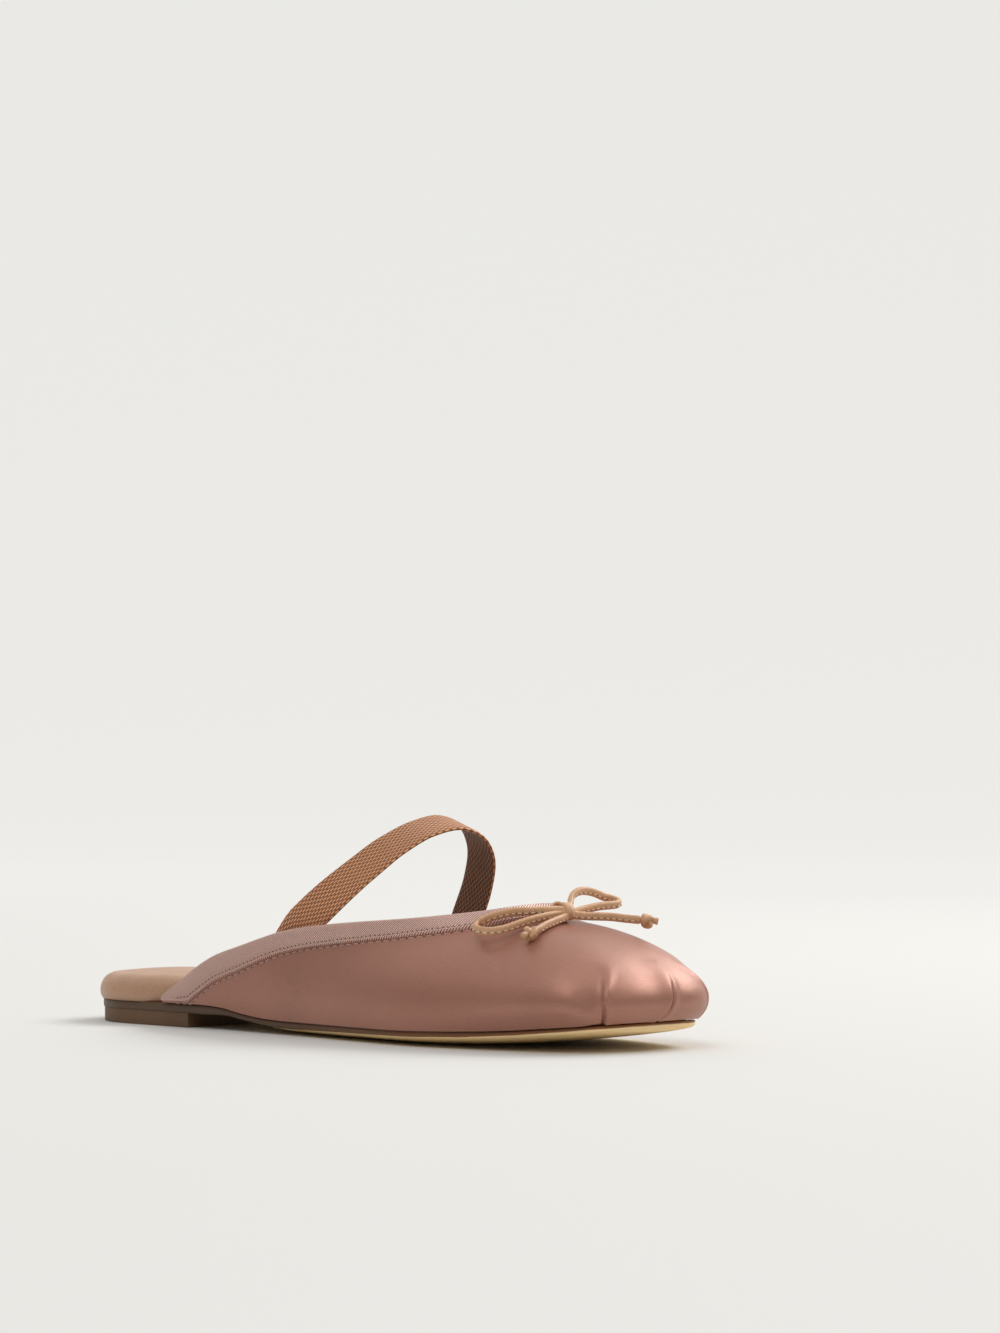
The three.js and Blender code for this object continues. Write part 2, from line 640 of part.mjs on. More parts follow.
// Upper: rings that go up the outside and come back down the inside, one wall apart.
const COLUMNS = 64;
const ROWS = 9; // below the binding
const ROW_CROWDING = 1.15; // rows lie closer together at the foot
const TAPE_ROWS = [1, 0.667, 0.333, 0]; // shares of the binding's depth
const COLUMN_CROWDING = 1.2; // columns lie closer together at the toe
const columns = [];
for (let i = 0; i <= COLUMNS; i += 1) {
  const share = (2 * i) / COLUMNS - 1;
  columns.push(Math.sign(share) * Math.abs(share) ** COLUMN_CROWDING);
}
const upperRings = columns.map((around) => {
  const cut = section(around);
  const whole = cut.sums.at(-1);
  const bound = Math.min(tapeDepth(around), 0.7 * whole);
  const lengths = [];
  for (let j = 0; j < ROWS; j += 1) lengths.push((j / ROWS) ** ROW_CROWDING * (whole - bound));
  lengths.push(...TAPE_ROWS.map((share) => whole - share * bound));
  const outside = [];
  const inside = [];
  for (const length of lengths) {
    const point = along(cut.points, cut.sums, length);
    outside.push(point);
    if (length === 0) {
      inside.unshift(point.clone().add(new THREE.Vector3(cut.out.x, cut.out.y, 0).multiplyScalar(-WALL)));
    } else {
      inside.unshift(point.clone().addScaledVector(skinNormal(around, length / whole), -WALL));
    }
  }
  return [...outside, ...inside];
});
const upper = sweep("upper", upperRings, LOOKS.satin);

// Binding: one tape folded over the topline, one gap off the wall on both sides.
const near = 1.5 * GAP;
const far = near + TAPE;
const bindingRings = columns.map((around) => {
  const depth = tapeDepth(around);
  const outer = TAPE_ROWS.map((share) => share * depth);
  const inner = outer.slice(1).reverse();
  const profile = [
    ...outer.map((down) => [down, far]),
    [-0.75 * far, 0.55 * far],
    [-far, -WALL / 2],
    [-0.75 * far, -WALL - 0.55 * far],
    ...inner.map((down) => [down, -WALL - far]),
    ...inner.map((down) => [down, -WALL - near]).reverse(),
    [-0.9 * near, -WALL],
    [-near, -WALL / 2],
    [-0.9 * near, 0],
    ...outer.map((down) => [down, near]).reverse(),
  ];
  return profile.map(([down, off]) => tapePoint(around, down, off));
});
const binding = sweep("topline_binding", bindingRings, LOOKS.tape);

// Place inside a quarter, clear of the binding, at a length below the topline at x.
function seatPoint(side, x, down) {
  let low = 0;
  let high = 1;
  for (let i = 0; i < 30; i += 1) {
    const middle = (low + high) / 2;
    if (skinPoint(side * middle, 0).x > x) low = middle;
    else high = middle;
  }
  return tapePoint(side * low, down, -(WALL + far + GAP + STRAP_THICKNESS));
}

// Strap: seated inside both quarters, it stands up over the instep and leans forward.
function strapRings() {
  const tuck = STRAP_TUCK;
  const back = 0.8 * tuck; // the tucked ends run back as they go down
  const outer = seatPoint(OUTER, STRAP_SEAT_OUTER, 0);
  const inner = seatPoint(INNER, STRAP_SEAT_INNER, 0);
  const points = [seatPoint(OUTER, STRAP_SEAT_OUTER - back, tuck), outer];
  const slopes = [STRAP[0].slope, STRAP[0].slope];
  for (const row of STRAP) {
    const point = outer.clone().lerp(inner, row.across);
    point.x += row.lean * STRAP_LEAN;
    point.z += row.rise * STRAP_RISE;
    points.push(point);
    slopes.push(row.slope);
  }
  points.push(inner, seatPoint(INNER, STRAP_SEAT_INNER - back / 2, tuck));
  slopes.push(STRAP.at(-1).slope, STRAP.at(-1).slope);
  const curve = new THREE.CatmullRomCurve3(points, false, "centripetal");
  const rings = [];
  const steps = 44;
  for (let i = 0; i <= steps; i += 1) {
    const t = i / steps;
    const place = t * (points.length - 1);
    const k = Math.min(Math.floor(place), points.length - 2);
    const slope = THREE.MathUtils.degToRad(THREE.MathUtils.lerp(slopes[k], slopes[k + 1], place - k));
    const point = curve.getPoint(t);
    const lead = curve.getTangent(t);
    const width = new THREE.Vector3(Math.cos(slope), 0, -Math.sin(slope));
    width.addScaledVector(lead, -width.dot(lead)).normalize().multiplyScalar(STRAP_WIDTH / 2);
    const up = new THREE.Vector3().crossVectors(width, lead).normalize().multiplyScalar(STRAP_THICKNESS / 2);
    const corner = (w, u) => point.clone().addScaledVector(width, w).addScaledVector(up, u);
    rings.push([corner(1, 1), corner(0, 1), corner(-1, 1), corner(-1, -1), corner(0, -1), corner(1, -1)]);
  }
  return rings;
}
const strap = sweep("instep_strap", strapRings(), LOOKS.strap);

// Bow: the knot sits on the vamp, just below the binding.
const knotSeat = tapePoint(0, KNOT_SEAT, KNOT_LIFT);
const knot = piece(
  "bow_knot",
  new THREE.IcosahedronGeometry(KNOT_RADIUS, 2).scale(0.95, 1, 0.75).translate(...knotSeat.toArray()),
  LOOKS.lace,
);

function lace(name, offsets) {
  const points = offsets.map((p) => new THREE.Vector3(...p).add(knotSeat));
  const path = new THREE.CatmullRomCurve3(points, false, "centripetal");
  const section = new THREE.Shape().absarc(0, 0, LACE / 2, 0, 2 * Math.PI);
  const steps = Math.round(path.getLength() / (1.3 * LACE));
  const geometry = new THREE.ExtrudeGeometry(section, {
    steps,
    curveSegments: 4,
    extrudePath: path,
    bevelEnabled: false,
  });
  return { path, mesh: piece(name, geometry, LOOKS.lace) };
}

// Stopper knot, just past the end of a tail.
function stopper(name, path) {
  const lead = path.getTangent(1);
  const centre = path.getPoint(1).addScaledVector(lead, STOPPER_RADIUS + GAP);
  return piece(name, new THREE.IcosahedronGeometry(STOPPER_RADIUS, 1).translate(...centre.toArray()), LOOKS.lace);
}
const loopOuter = lace("bow_loop_outer", LOOP_OUTER);
const loopInner = lace("bow_loop_inner", LOOP_INNER);
const tailOuter = lace("bow_tail_outer", TAIL_OUTER);
const tailInner = lace("bow_tail_inner", TAIL_INNER);

const shoe = new THREE.Group();
shoe.add(outsole, heel, insole, upper, binding, strap);

const box = new THREE.Box3().setFromObject(shoe);
shoe.add(
  knot,
  loopOuter.mesh,
  loopInner.mesh,
  tailOuter.mesh,
  tailInner.mesh,
  stopper("tail_knot_outer", tailOuter.path),
  stopper("tail_knot_inner", tailInner.path),
);
shoe.position.set(-(box.min.x + box.max.x) / 2, -(box.min.y + box.max.y) / 2, 0);

export default shoe;
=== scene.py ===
import math

import bpy
import numpy as np
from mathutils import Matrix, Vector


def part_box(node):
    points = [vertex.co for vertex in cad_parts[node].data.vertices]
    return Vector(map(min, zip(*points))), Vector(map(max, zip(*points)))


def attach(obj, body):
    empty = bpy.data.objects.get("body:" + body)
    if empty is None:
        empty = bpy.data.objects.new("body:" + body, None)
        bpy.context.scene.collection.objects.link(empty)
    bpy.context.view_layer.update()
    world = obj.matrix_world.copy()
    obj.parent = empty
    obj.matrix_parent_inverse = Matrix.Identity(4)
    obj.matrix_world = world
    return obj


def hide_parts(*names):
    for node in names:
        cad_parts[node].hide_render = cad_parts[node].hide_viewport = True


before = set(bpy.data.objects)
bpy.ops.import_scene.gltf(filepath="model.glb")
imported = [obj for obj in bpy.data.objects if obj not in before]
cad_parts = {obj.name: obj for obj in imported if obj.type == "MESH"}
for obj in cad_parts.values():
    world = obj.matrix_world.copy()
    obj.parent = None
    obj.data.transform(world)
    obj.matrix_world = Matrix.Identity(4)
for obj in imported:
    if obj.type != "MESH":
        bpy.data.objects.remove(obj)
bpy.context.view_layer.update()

# Satin ballet mule, right shoe. Shapes are worked out in millimetres from the back of the sole and moved
# to the frame, in metres, when a mesh is made.

# Sizes shared with the frame
SOLE_LENGTH = 250.0
HEEL_WIDTH = 54.6
WAIST_WIDTH = 52.5
BALL_WIDTH = 74.6
TOE_WIDTH = 50.0
HEEL_CAP = 27.0
TOE_CAP = 22.0
HEEL_SEAT = 7.9
BALL_EDGE = 4.6
TOE_EDGE = 9.2
SOLE_EDGE_HEEL = 3.0
SOLE_EDGE = 1.9
HEEL_BLOCK_LENGTH = 61.0
HEEL_BLOCK_INSET = 0.4
FOOTBED_HEEL = 9.3
FOOTBED_BALL = 3.2
FOOTBED_OVERHANG = 1.2
FOOTBED_RIM = 3.4
FOOTBED_CROWN = 1.1
WALL = 1.4
QUARTER_START = 49.0
QUARTER_END_HEIGHT = 2.2
THROAT_POINT = 201.5
THROAT_HEIGHT = 44.4
THROAT_CAP = 60.0
THROAT_OFFSET = 2.0
TOPLINE_WIDTH = 58.0
LIP_HEIGHT = 4.2
LIP_LENGTH = 12.0
FOOT_OVERHANG = 0.8
TOE_FULLNESS = 13.6
BINDING_WIDTH = 9.0
TAPE = 0.8
STRAP_WIDTH = 14.0
STRAP_THICKNESS = 1.2
STRAP_RISE = 33.6
STRAP_LEAN = 21.5
STRAP_SEAT_OUTER = 113.0
STRAP_SEAT_INNER = 143.0
STRAP_TUCK = 8.0
KNOT_SEAT = 10.85
KNOT_LIFT = 3.15
GAP = 0.3
HEEL_ROUNDNESS = 2.15
TOE_ROUNDNESS = 3.0
TOE_SKEW = 0.07
THROAT_ROUNDNESS = 2.15
FAN = 1.65
TOE_TURN = 0.2
HEEL_TURN = 0.8
FINE = 400
THROAT_TURN = 0.5
SKEW_POWER = 10
LIP_FALL = 1.8
SECTION_POINTS = 49
OUTER = -1
INNER = 1


def table(names, *rows):
    return {name: np.array([row[i] for row in rows], float) for i, name in enumerate(names.split())}


OUTLINE = table(
    "at width outer",
    (0.0, 0.985 * HEEL_WIDTH, 0.5), (0.12, HEEL_WIDTH, 0.505), (0.24, 0.985 * HEEL_WIDTH, 0.515),
    (0.38, WAIST_WIDTH, 0.545), (0.5, 1.07 * WAIST_WIDTH, 0.56), (0.62, 0.885 * BALL_WIDTH, 0.545),
    (0.72, BALL_WIDTH, 0.505), (0.82, 0.965 * BALL_WIDTH, 0.475), (0.92, 1.21 * TOE_WIDTH, 0.455),
    (1.0, TOE_WIDTH, 0.445),
)
EDGE_HEIGHT = table(
    "at z",
    (0.0, HEEL_SEAT), (0.2, HEEL_SEAT), (0.28, HEEL_SEAT), (0.32, 0.93 * HEEL_SEAT),
    (0.36, 0.74 * HEEL_SEAT), (0.41, 1.03 * BALL_EDGE), (0.47, 0.97 * BALL_EDGE), (0.6, BALL_EDGE),
    (0.72, 1.05 * BALL_EDGE), (0.84, 1.28 * BALL_EDGE), (0.92, 0.8 * TOE_EDGE), (1.0, TOE_EDGE),
)
UNDERSIDE = table(
    "at edge belly",
    (0.0, SOLE_EDGE_HEEL, 0.0), (0.25, SOLE_EDGE_HEEL, 0.0), (0.28, SOLE_EDGE_HEEL, 0.0),
    (0.34, 0.4 * (SOLE_EDGE_HEEL + SOLE_EDGE), 0.3), (0.44, SOLE_EDGE, 0.6), (0.6, SOLE_EDGE, 0.68),
    (0.76, SOLE_EDGE, 0.68), (0.9, SOLE_EDGE, 0.45), (1.0, SOLE_EDGE, 0.2),
)
FOOTBED_INSET = WALL - FOOT_OVERHANG + TAPE + 4.5 * GAP
FOOTBED_STEP = 0.3 * QUARTER_START
FOOTBED = table(
    "at thick",
    (0.0, FOOTBED_HEEL), (0.3, 0.95 * FOOTBED_HEEL), (0.55, 1.1 * FOOTBED_BALL), (1.0, FOOTBED_BALL),
)
QUARTER_WIDTH = 0.985 * HEEL_WIDTH + 2 * FOOT_OVERHANG
TOPLINE = table(
    "at rise width outer",
    (0.0, 0.0, QUARTER_WIDTH, 0.506), (0.06, 0.147, 1.005 * QUARTER_WIDTH, 0.507),
    (0.12, 0.29, 0.988 * TOPLINE_WIDTH, 0.511), (0.185, 0.42, 0.988 * TOPLINE_WIDTH, 0.518),
    (0.27, 0.527, 0.986 * TOPLINE_WIDTH, 0.524), (0.385, 0.665, 0.986 * TOPLINE_WIDTH, 0.524),
    (0.47, 0.731, 0.997 * TOPLINE_WIDTH, 0.519), (0.56, 0.775, 1.01 * TOPLINE_WIDTH, 0.512),
    (0.66, 0.815, 1.014 * TOPLINE_WIDTH, 0.503), (0.79, 0.862, TOPLINE_WIDTH, 0.493),
    (0.925, 0.93, 0.976 * TOPLINE_WIDTH, 0.488), (1.0, 1.0, 0.957 * TOPLINE_WIDTH, 0.486),
)
SECTIONS = table(
    "at swell lift reach drop lip",
    (0.0, 1.0, 0.36, 0.62, 0.01, 1.0), (0.1, 1.0, 0.36, 0.62, 0.01, 1.0),
    (0.2, 0.92, 0.38, 0.6, 0.05, 1.0), (0.35, 0.42, 0.5, 0.46, 0.15, 0.5),
    (0.55, 0.2, 0.5, 0.3, 0.25, 0.1), (0.8, 0.14, 0.4, 0.1, 0.33, 0.0),
    (1.0, 0.03, 0.33, 0.0, 0.33, 0.0),
)
BINDING = table(
    "at width",
    (0.0, 0.76), (0.2, 0.77), (0.32, 0.77), (0.42, 0.71), (0.53, 0.67), (0.65, 0.69), (0.77, 0.76),
    (0.87, 0.91), (1.0, 1.0),
)
BINDING["width"] *= BINDING_WIDTH
STRAP = table(
    "across rise lean slope",
    (0, 0.119, 0.219, 40.5), (0.06, 0.366, 0.572, 31), (0.175, 0.609, 0.794, 19.5),
    (0.315, 0.837, 0.965, 14), (0.48, 0.981, 0.994, 13.5), (0.66, 1.021, 0.918, 17.5),
    (0.83, 0.917, 0.742, 20.5), (0.96, 0.684, 0.48, 19.7), (1.01, 0.37, 0.223, 21),
)
# Lace, from the middle of the knot: forward, to the inner side and up
LOOP_OUTER = [
    (-1.5, -4.0, 0.6), (-3.9, -8.6, 0.6), (-6.0, -12.3, 0.4), (-9.1, -16.1, 0.2), (-12.0, -20.1, -0.7),
    (-14.6, -23.9, -2.2), (-15.4, -26.6, -3.6), (-14.2, -28.6, -4.6), (-11.8, -29.7, -5.2),
    (-9.4, -29.4, -5.5), (-6.7, -27.0, -5.4), (-4.9, -23.4, -4.6), (-3.8, -19.3, -3.4),
    (-2.6, -14.7, -2.2), (-1.5, -9.7, -1.3), (-1.0, -5.4, -0.8),
]
LOOP_INNER = [
    (-1.8, 2.6, 2.6), (-2.8, 4.0, 4.4), (-3.1, 6.4, 5.9), (-2.9, 9.8, 6.5), (-2.2, 14.2, 5.8),
    (-1.7, 17.9, 4.5), (-1.2, 20.2, 3.9), (0.1, 21.7, 3.2), (1.8, 21.5, 2.5), (2.7, 19.6, 2.0),
    (1.8, 13.1, 1.6), (1.1, 8.5, 1.0), (0.6, 3.9, 0.2),
]
TAIL_OUTER = [
    (1.2, -3.8, -1.7), (2.2, -8.8, -2.6), (3.2, -14.4, -3.8), (3.9, -18.5, -5.0), (4.1, -20.6, -5.5),
]
TAIL_INNER = [
    (2.3, 3.0, -1.2), (4.0, 5.6, -1.4), (5.9, 8.6, -1.5), (7.8, 11.9, -1.7), (10.5, 14.9, -2.2),
    (14.6, 18.4, -2.7),
]


# Surface functions, the same as the frame's
def read(rows, column, x):
    at = rows["at"]
    v = rows[column]
    n = len(at)
    low = np.maximum(np.arange(n) - 1, 0)
    high = np.minimum(np.arange(n) + 1, n - 1)
    slope = (v[high] - v[low]) / (at[high] - at[low])
    t = np.clip(np.asarray(x, float), at[0], at[-1])
    i = np.clip(np.searchsorted(at, t, side="right") - 1, 0, n - 2)
    h = at[i + 1] - at[i]
    s = (t - at[i]) / h
    s2 = s * s
    s3 = s2 * s
    return (
        (2 * s3 - 3 * s2 + 1) * v[i]
        + (s3 - 2 * s2 + s) * h * slope[i]
        + (3 * s2 - 2 * s3) * v[i + 1]
        + (s3 - s2) * h * slope[i + 1]
    )


def norm(v):
    return np.linalg.norm(v, axis=-1)


def unit(v):
    return v / norm(v)[..., None]


# The parts of v that are square to the unit vectors t, as unit vectors
def square_to(v, t):
    return unit(v - np.sum(v * t, -1, keepdims=True) * t)


def running(points):
    return np.concatenate([[0.0], np.cumsum(norm(np.diff(points, axis=0)))])


def along(points, sums, length):
    return np.stack([np.interp(length, sums, points[:, k]) for k in range(points.shape[1])], -1)


def edge_height(x):
    return read(EDGE_HEIGHT, "z", x / SOLE_LENGTH)


def outline_point(side, turn):
    toe = (math.pi / 2) * (1 - np.clip(turn / TOE_TURN, 0, 1))
    heel = (math.pi / 2) * np.clip((1 - turn) / (1 - HEEL_TURN), 0, 1)
    share = (turn - TOE_TURN) / (HEEL_TURN - TOE_TURN)
    x = SOLE_LENGTH - TOE_CAP - share * (SOLE_LENGTH - TOE_CAP - HEEL_CAP)
    x = np.where(turn < TOE_TURN, SOLE_LENGTH - TOE_CAP + TOE_CAP * np.sin(toe) ** (2 / TOE_ROUNDNESS), x)
    x = np.where(turn > HEEL_TURN, HEEL_CAP - HEEL_CAP * np.cos(heel) ** (2 / HEEL_ROUNDNESS), x)
    full = np.where(turn < TOE_TURN, np.clip(np.cos(toe), 0, 1) ** (2 / TOE_ROUNDNESS), 1.0)
    full = np.where(turn > HEEL_TURN, np.clip(np.sin(heel), 0, 1) ** (2 / HEEL_ROUNDNESS), full)
    full = np.where((turn <= 0) | (turn >= 1), 0.0, full)
    width = read(OUTLINE, "width", x / SOLE_LENGTH)
    middle = width * (0.5 - read(OUTLINE, "outer", x / SOLE_LENGTH))
    y = side * (width / 2) * full
    return np.stack([x + TOE_SKEW * y * (x / SOLE_LENGTH) ** SKEW_POWER, middle + y], -1)


SIDES = {}
for side in (OUTER, INNER):
    line = outline_point(side, np.linspace(0, 1, FINE + 1))
    SIDES[side] = (line, running(line))


def outline_length(side, x):
    line, sums = SIDES[side]
    return float(np.interp(-x, -line[:, 0], sums))


def outline_at(side, length):
    def at(l):
        here = along(*SIDES[side], np.abs(l))
        there = along(*SIDES[-side], np.abs(l))
        return np.where((l < 0)[..., None], there, here)

    reach = SOLE_LENGTH / 400
    direction = unit(at(length + reach) - at(length - reach))
    out = np.stack([-direction[..., 1], direction[..., 0]], -1) * -side
    return at(length), out


TOPLINES = {}
for side in (OUTER, INNER):
    turn = np.linspace(0, 1, FINE + 1)
    angle = (math.pi / 2) * np.clip(1 - turn / THROAT_TURN, 0, 1)
    x = THROAT_POINT - THROAT_CAP + THROAT_CAP * np.sin(angle) ** (2 / THROAT_ROUNDNESS)
    full = np.clip(np.cos(angle), 0, 1) ** (2 / THROAT_ROUNDNESS)
    full[0] = 0
    run = THROAT_POINT - QUARTER_START
    straight = turn >= THROAT_TURN
    x = np.where(straight, THROAT_POINT - THROAT_CAP - (turn / THROAT_TURN - 1) * (run - THROAT_CAP), x)
    full = np.where(straight, 1.0, full)
    at = (x - QUARTER_START) / run
    outer = read(TOPLINE, "outer", at)
    half = read(TOPLINE, "width", at) * (outer if side == OUTER else 1 - outer)
    low = edge_height(QUARTER_START) + QUARTER_END_HEIGHT
    z = low + read(TOPLINE, "rise", at) * (THROAT_HEIGHT - low)
    line = np.stack([x, side * half * full + THROAT_OFFSET * (1 - full), z], -1)
    TOPLINES[side] = (line, running(line))


# Sections for n places round the upper: points from the sole up to the topline, and their running lengths
def sections(around):
    n = len(around)
    share = np.abs(around)
    foot = np.zeros((n, 2))
    out = np.zeros((n, 2))
    top = np.zeros((n, 3))
    for side in (OUTER, INNER):
        mine = (around < 0) if side == OUTER else (around >= 0)
        point, away = outline_at(side, share[mine] * outline_length(side, QUARTER_START))
        foot[mine] = point
        out[mine] = away
        line, sums = TOPLINES[side]
        top[mine] = along(line, sums, share[mine] ** FAN * sums[-1])
    swell = TOE_FULLNESS * read(SECTIONS, "swell", share)
    low = foot + out * FOOT_OVERHANG
    bulge = low + out * swell[:, None]
    z = edge_height(foot[:, 0]) + GAP
    lip = LIP_HEIGHT * read(SECTIONS, "lip", share)
    top[:, 2] -= lip
    rise = top[:, 2] - z
    reach = read(SECTIONS, "reach", share)
    p0 = np.column_stack([low, z])
    p1 = np.column_stack([bulge, z + read(SECTIONS, "lift", share) * rise])
    lead = top[:, :2] - reach[:, None] * (top[:, :2] - low)
    p2 = np.column_stack([lead, top[:, 2] - read(SECTIONS, "drop", share) * rise])
    t = np.linspace(0, 1, SECTION_POINTS)[None, :, None]
    points = (
        (1 - t) ** 3 * p0[:, None]
        + 3 * (1 - t) ** 2 * t * p1[:, None]
        + 3 * (1 - t) * t**2 * p2[:, None]
        + t**3 * top[:, None]
    )

    def lengths(p):
        steps = norm(np.diff(p, axis=1))
        return np.concatenate([np.zeros((n, 1)), np.cumsum(steps, 1)], 1)

    bare = lengths(points)
    points[:, :, 2] += lip[:, None] * np.clip(1 - (bare[:, -1:] - bare) / LIP_LENGTH, 0, 1) ** LIP_FALL
    return points, lengths(points)


def at_lengths(points, sums, length):
    return np.array([along(*row) for row in zip(points, sums, length)])


# Points and outward normals of the upper's outside; around is (n,), up is (n, m) shares of the way up
def skin(around, up):
    step = 0.004

    def at(a, u):
        points, sums = sections(np.clip(a, -1, 1))
        return at_lengths(points, sums, u * sums[:, -1:])

    here = at(around, up)
    lengthwise = at(around + step, up) - at(around - step, up)
    upward = at(around, np.minimum(up + step * 3, 1)) - at(around, np.maximum(up - step * 3, 0))
    return here, unit(np.cross(lengthwise, upward))


# Points near the skin; down is (n, m) lengths from the topline, off is (n, m) or a number
def tape_points(around, down, off):
    points, sums = sections(around)
    whole = sums[:, -1:]
    here, normal = skin(around, np.clip(whole - down, 0, None).clip(max=whole) / whole)
    lead = unit(points[:, -1] - points[:, -3])
    past = np.clip(-down, 0, None)
    off = np.broadcast_to(np.asarray(off, float), down.shape)
    return here + lead[:, None] * past[..., None] + normal * off[..., None]


def tape_depth(around):
    width = read(BINDING, "width", np.abs(around))
    step = 0.003
    points, sums = sections(around)
    a, b = (sections(np.clip(around + s, -1, 1))[0][:, -1] for s in (-step, step))
    lead = unit(b - a)
    below = at_lengths(points, sums, sums[:, -1:] - 1)[:, 0]
    fall = unit(points[:, -1] - below)
    sine = np.sqrt(1 - np.sum(lead * fall, 1) ** 2)
    return np.minimum(width / sine, sums[:, -1] - 2 * GAP)


# The move into the frame, from the corner of its outsole
all_outline = np.concatenate([SIDES[OUTER][0], SIDES[INNER][0]])
corner = np.array(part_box("outsole")[0][:2]) * 1000
SHIFT = np.array([*(corner - all_outline.min(0)), 0.0])


def metres(points):
    return (np.asarray(points, float) + SHIFT) * 0.001


def blend(p, q, low, high, t):
    return (high - t) / (high - low) * p + (t - low) / (high - low) * q


# Centripetal curve through points, with a point about every step millimetres
def smooth_path(points, step):
    p = np.asarray(points, float)
    p = np.vstack([2 * p[0] - p[1], p, 2 * p[-1] - p[-2]])
    made = []
    for i in range(1, len(p) - 2):
        a, b, c, d = p[i - 1 : i + 3]
        knots = np.cumsum([0, *[max(norm(v) ** 0.5, 1e-6) for v in (b - a, c - b, d - c)]])
        t0, t1, t2, t3 = knots
        count = max(int(norm(c - b) / step), 2)
        for t in np.linspace(t1, t2, count, endpoint=False):
            ab = blend(a, b, t0, t1, t)
            bc = blend(b, c, t1, t2, t)
            cd = blend(c, d, t2, t3, t)
            abc = blend(ab, bc, t0, t2, t)
            bcd = blend(bc, cd, t1, t3, t)
            made.append(blend(abc, bcd, t1, t2, t))
    made.append(p[-2])
    return np.array(made)


def add_object(name, data):
    obj = bpy.data.objects.new(name, data)
    bpy.context.scene.collection.objects.link(obj)
    return obj


# Mesh tools
def make(name, points, faces, uvs, material):
    mesh = bpy.data.meshes.new(name)
    mesh.from_pydata(metres(points).tolist(), [], faces)
    if uvs is not None:
        layer = mesh.uv_layers.new(name="mm")
        loops = np.zeros(len(mesh.loops), int)
        mesh.loops.foreach_get("vertex_index", loops)
        layer.data.foreach_set("uv", uvs[loops].astype(np.float32).ravel())
    mesh.shade_smooth()
    mesh.materials.append(material)
    obj = add_object(name, mesh)
    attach(obj, "root")
    return obj


def grid_faces(rows, columns, wrap=False, start=0, flip=False):
    faces = []
    for r in range(rows - 1):
        for c in range(columns if wrap else columns - 1):
            a = start + r * columns + c
            b = start + r * columns + (c + 1) % columns
            d = a + columns
            e = b + columns
            faces.append((a, d, e, b) if flip else (a, b, e, d))
    return faces


# The same with a face over each end
def closed_faces(rows, columns, wrap=True, start=0, flip=False):
    first = list(range(start, start + columns))
    last = [k + (rows - 1) * columns for k in first]
    ends = (first, last[::-1]) if flip else (first[::-1], last)
    return grid_faces(rows, columns, wrap, start, flip) + [tuple(end) for end in ends]


# A closed piece from a grid of points, with u and v that fill the same grid
def make_grid(name, grid, u, v, material, slot, **how):
    faces = closed_faces(*grid.shape[:2], **how)
    uvs = np.stack([np.broadcast_to(part, grid.shape[:2]) for part in (u, v)], -1)
    return make(name, grid.reshape(-1, 3), faces, uvs.reshape(-1, 2), material)


# A second material on the inside of such a piece: the lining of the upper, and a darker copy of the webbing
# as painted shade on the strap; on its columns from start on
def lining_and_shade_inside(piece, material, rows, columns, start):
    piece.data.materials.append(material)
    index = np.zeros(len(piece.data.polygons), int)
    for r in range(rows - 1):
        index[r * columns + start : (r + 1) * columns - 1] = 1
    piece.data.polygons.foreach_set("material_index", index)


TAPER_LENGTH = 0.8


# Tube with a flattened section: wide half-width along up, thin half-width across it
def strip_tube(path, wide, thin, up, sides=18, power=2.5, taper=(1.0, 1.0)):
    n = len(path)
    tangent = unit(np.gradient(path, axis=0))
    w = square_to(np.broadcast_to(np.asarray(up, float), (n, 3)), tangent)
    s = np.cross(tangent, w)
    angle = 2 * math.pi * np.arange(sides) / sides
    c = np.sign(np.cos(angle)) * np.abs(np.cos(angle)) ** (2 / power)
    d = np.sign(np.sin(angle)) * np.abs(np.sin(angle)) ** (2 / power)
    sums = running(path)
    size = np.ones(n)
    for end, near in ((0, sums), (1, sums[-1] - sums)):
        grown = taper[end] + (1 - taper[end]) * np.sqrt(np.clip(near / TAPER_LENGTH, 0, 1))
        size *= np.where(near < TAPER_LENGTH, grown, 1)
    wide = np.broadcast_to(wide, n) * size
    thin = np.broadcast_to(thin, n) * size
    rings = path[:, None] + w[:, None] * (wide[:, None] * c)[..., None]
    rings += s[:, None] * (thin[:, None] * d)[..., None]
    points = np.concatenate([rings.reshape(-1, 3), path[:1], path[-1:]])
    faces = grid_faces(n, sides, wrap=True)
    first, last = n * sides, n * sides + 1
    for k in range(sides):
        faces.append((first, (k + 1) % sides, k))
        faces.append((last, (n - 1) * sides + k, (n - 1) * sides + (k + 1) % sides))
    uvs = np.zeros((len(points), 2))
    uvs[: n * sides, 0] = np.repeat(sums, sides)
    uvs[: n * sides, 1] = np.tile(angle, n)
    return points, faces, uvs, (w, s, sums)


STITCH_SIDES = 6
STITCH_PROFILE = [(-0.5, 0.25), (-0.42, 0.75), (-0.25, 1.0), (0.25, 1.0), (0.42, 0.75), (0.5, 0.25)]
STITCH_SINK = 0.55


# Thread stitches: short bars with round ends, laid along a path, with their ends sunk in
def stitches(name, places, leads, normals, length, radius, material, slot):
    points = []
    faces = []
    for p, t, n in zip(places, leads, normals):
        t = unit(t)
        n = square_to(n, t)
        b = np.cross(t, n)
        faces += closed_faces(len(STITCH_PROFILE), STITCH_SIDES, start=len(points))
        for share, size in STITCH_PROFILE:
            sink = -STITCH_SINK * radius * (2 * share) ** 2
            for k in range(STITCH_SIDES):
                a = 2 * math.pi * k / STITCH_SIDES
                height = sink + radius * size * math.sin(a)
                points.append(p + t * share * length + n * height + b * radius * size * math.cos(a))
    return make(name, points, faces, None, material)


# Node tools
def fill_ramp(node, stops):
    while len(node.color_ramp.elements) < len(stops):
        node.color_ramp.elements.new(0.5)
    for element, (at, colour) in zip(node.color_ramp.elements, stops):
        element.position = at
        element.color = (*colour, 1)


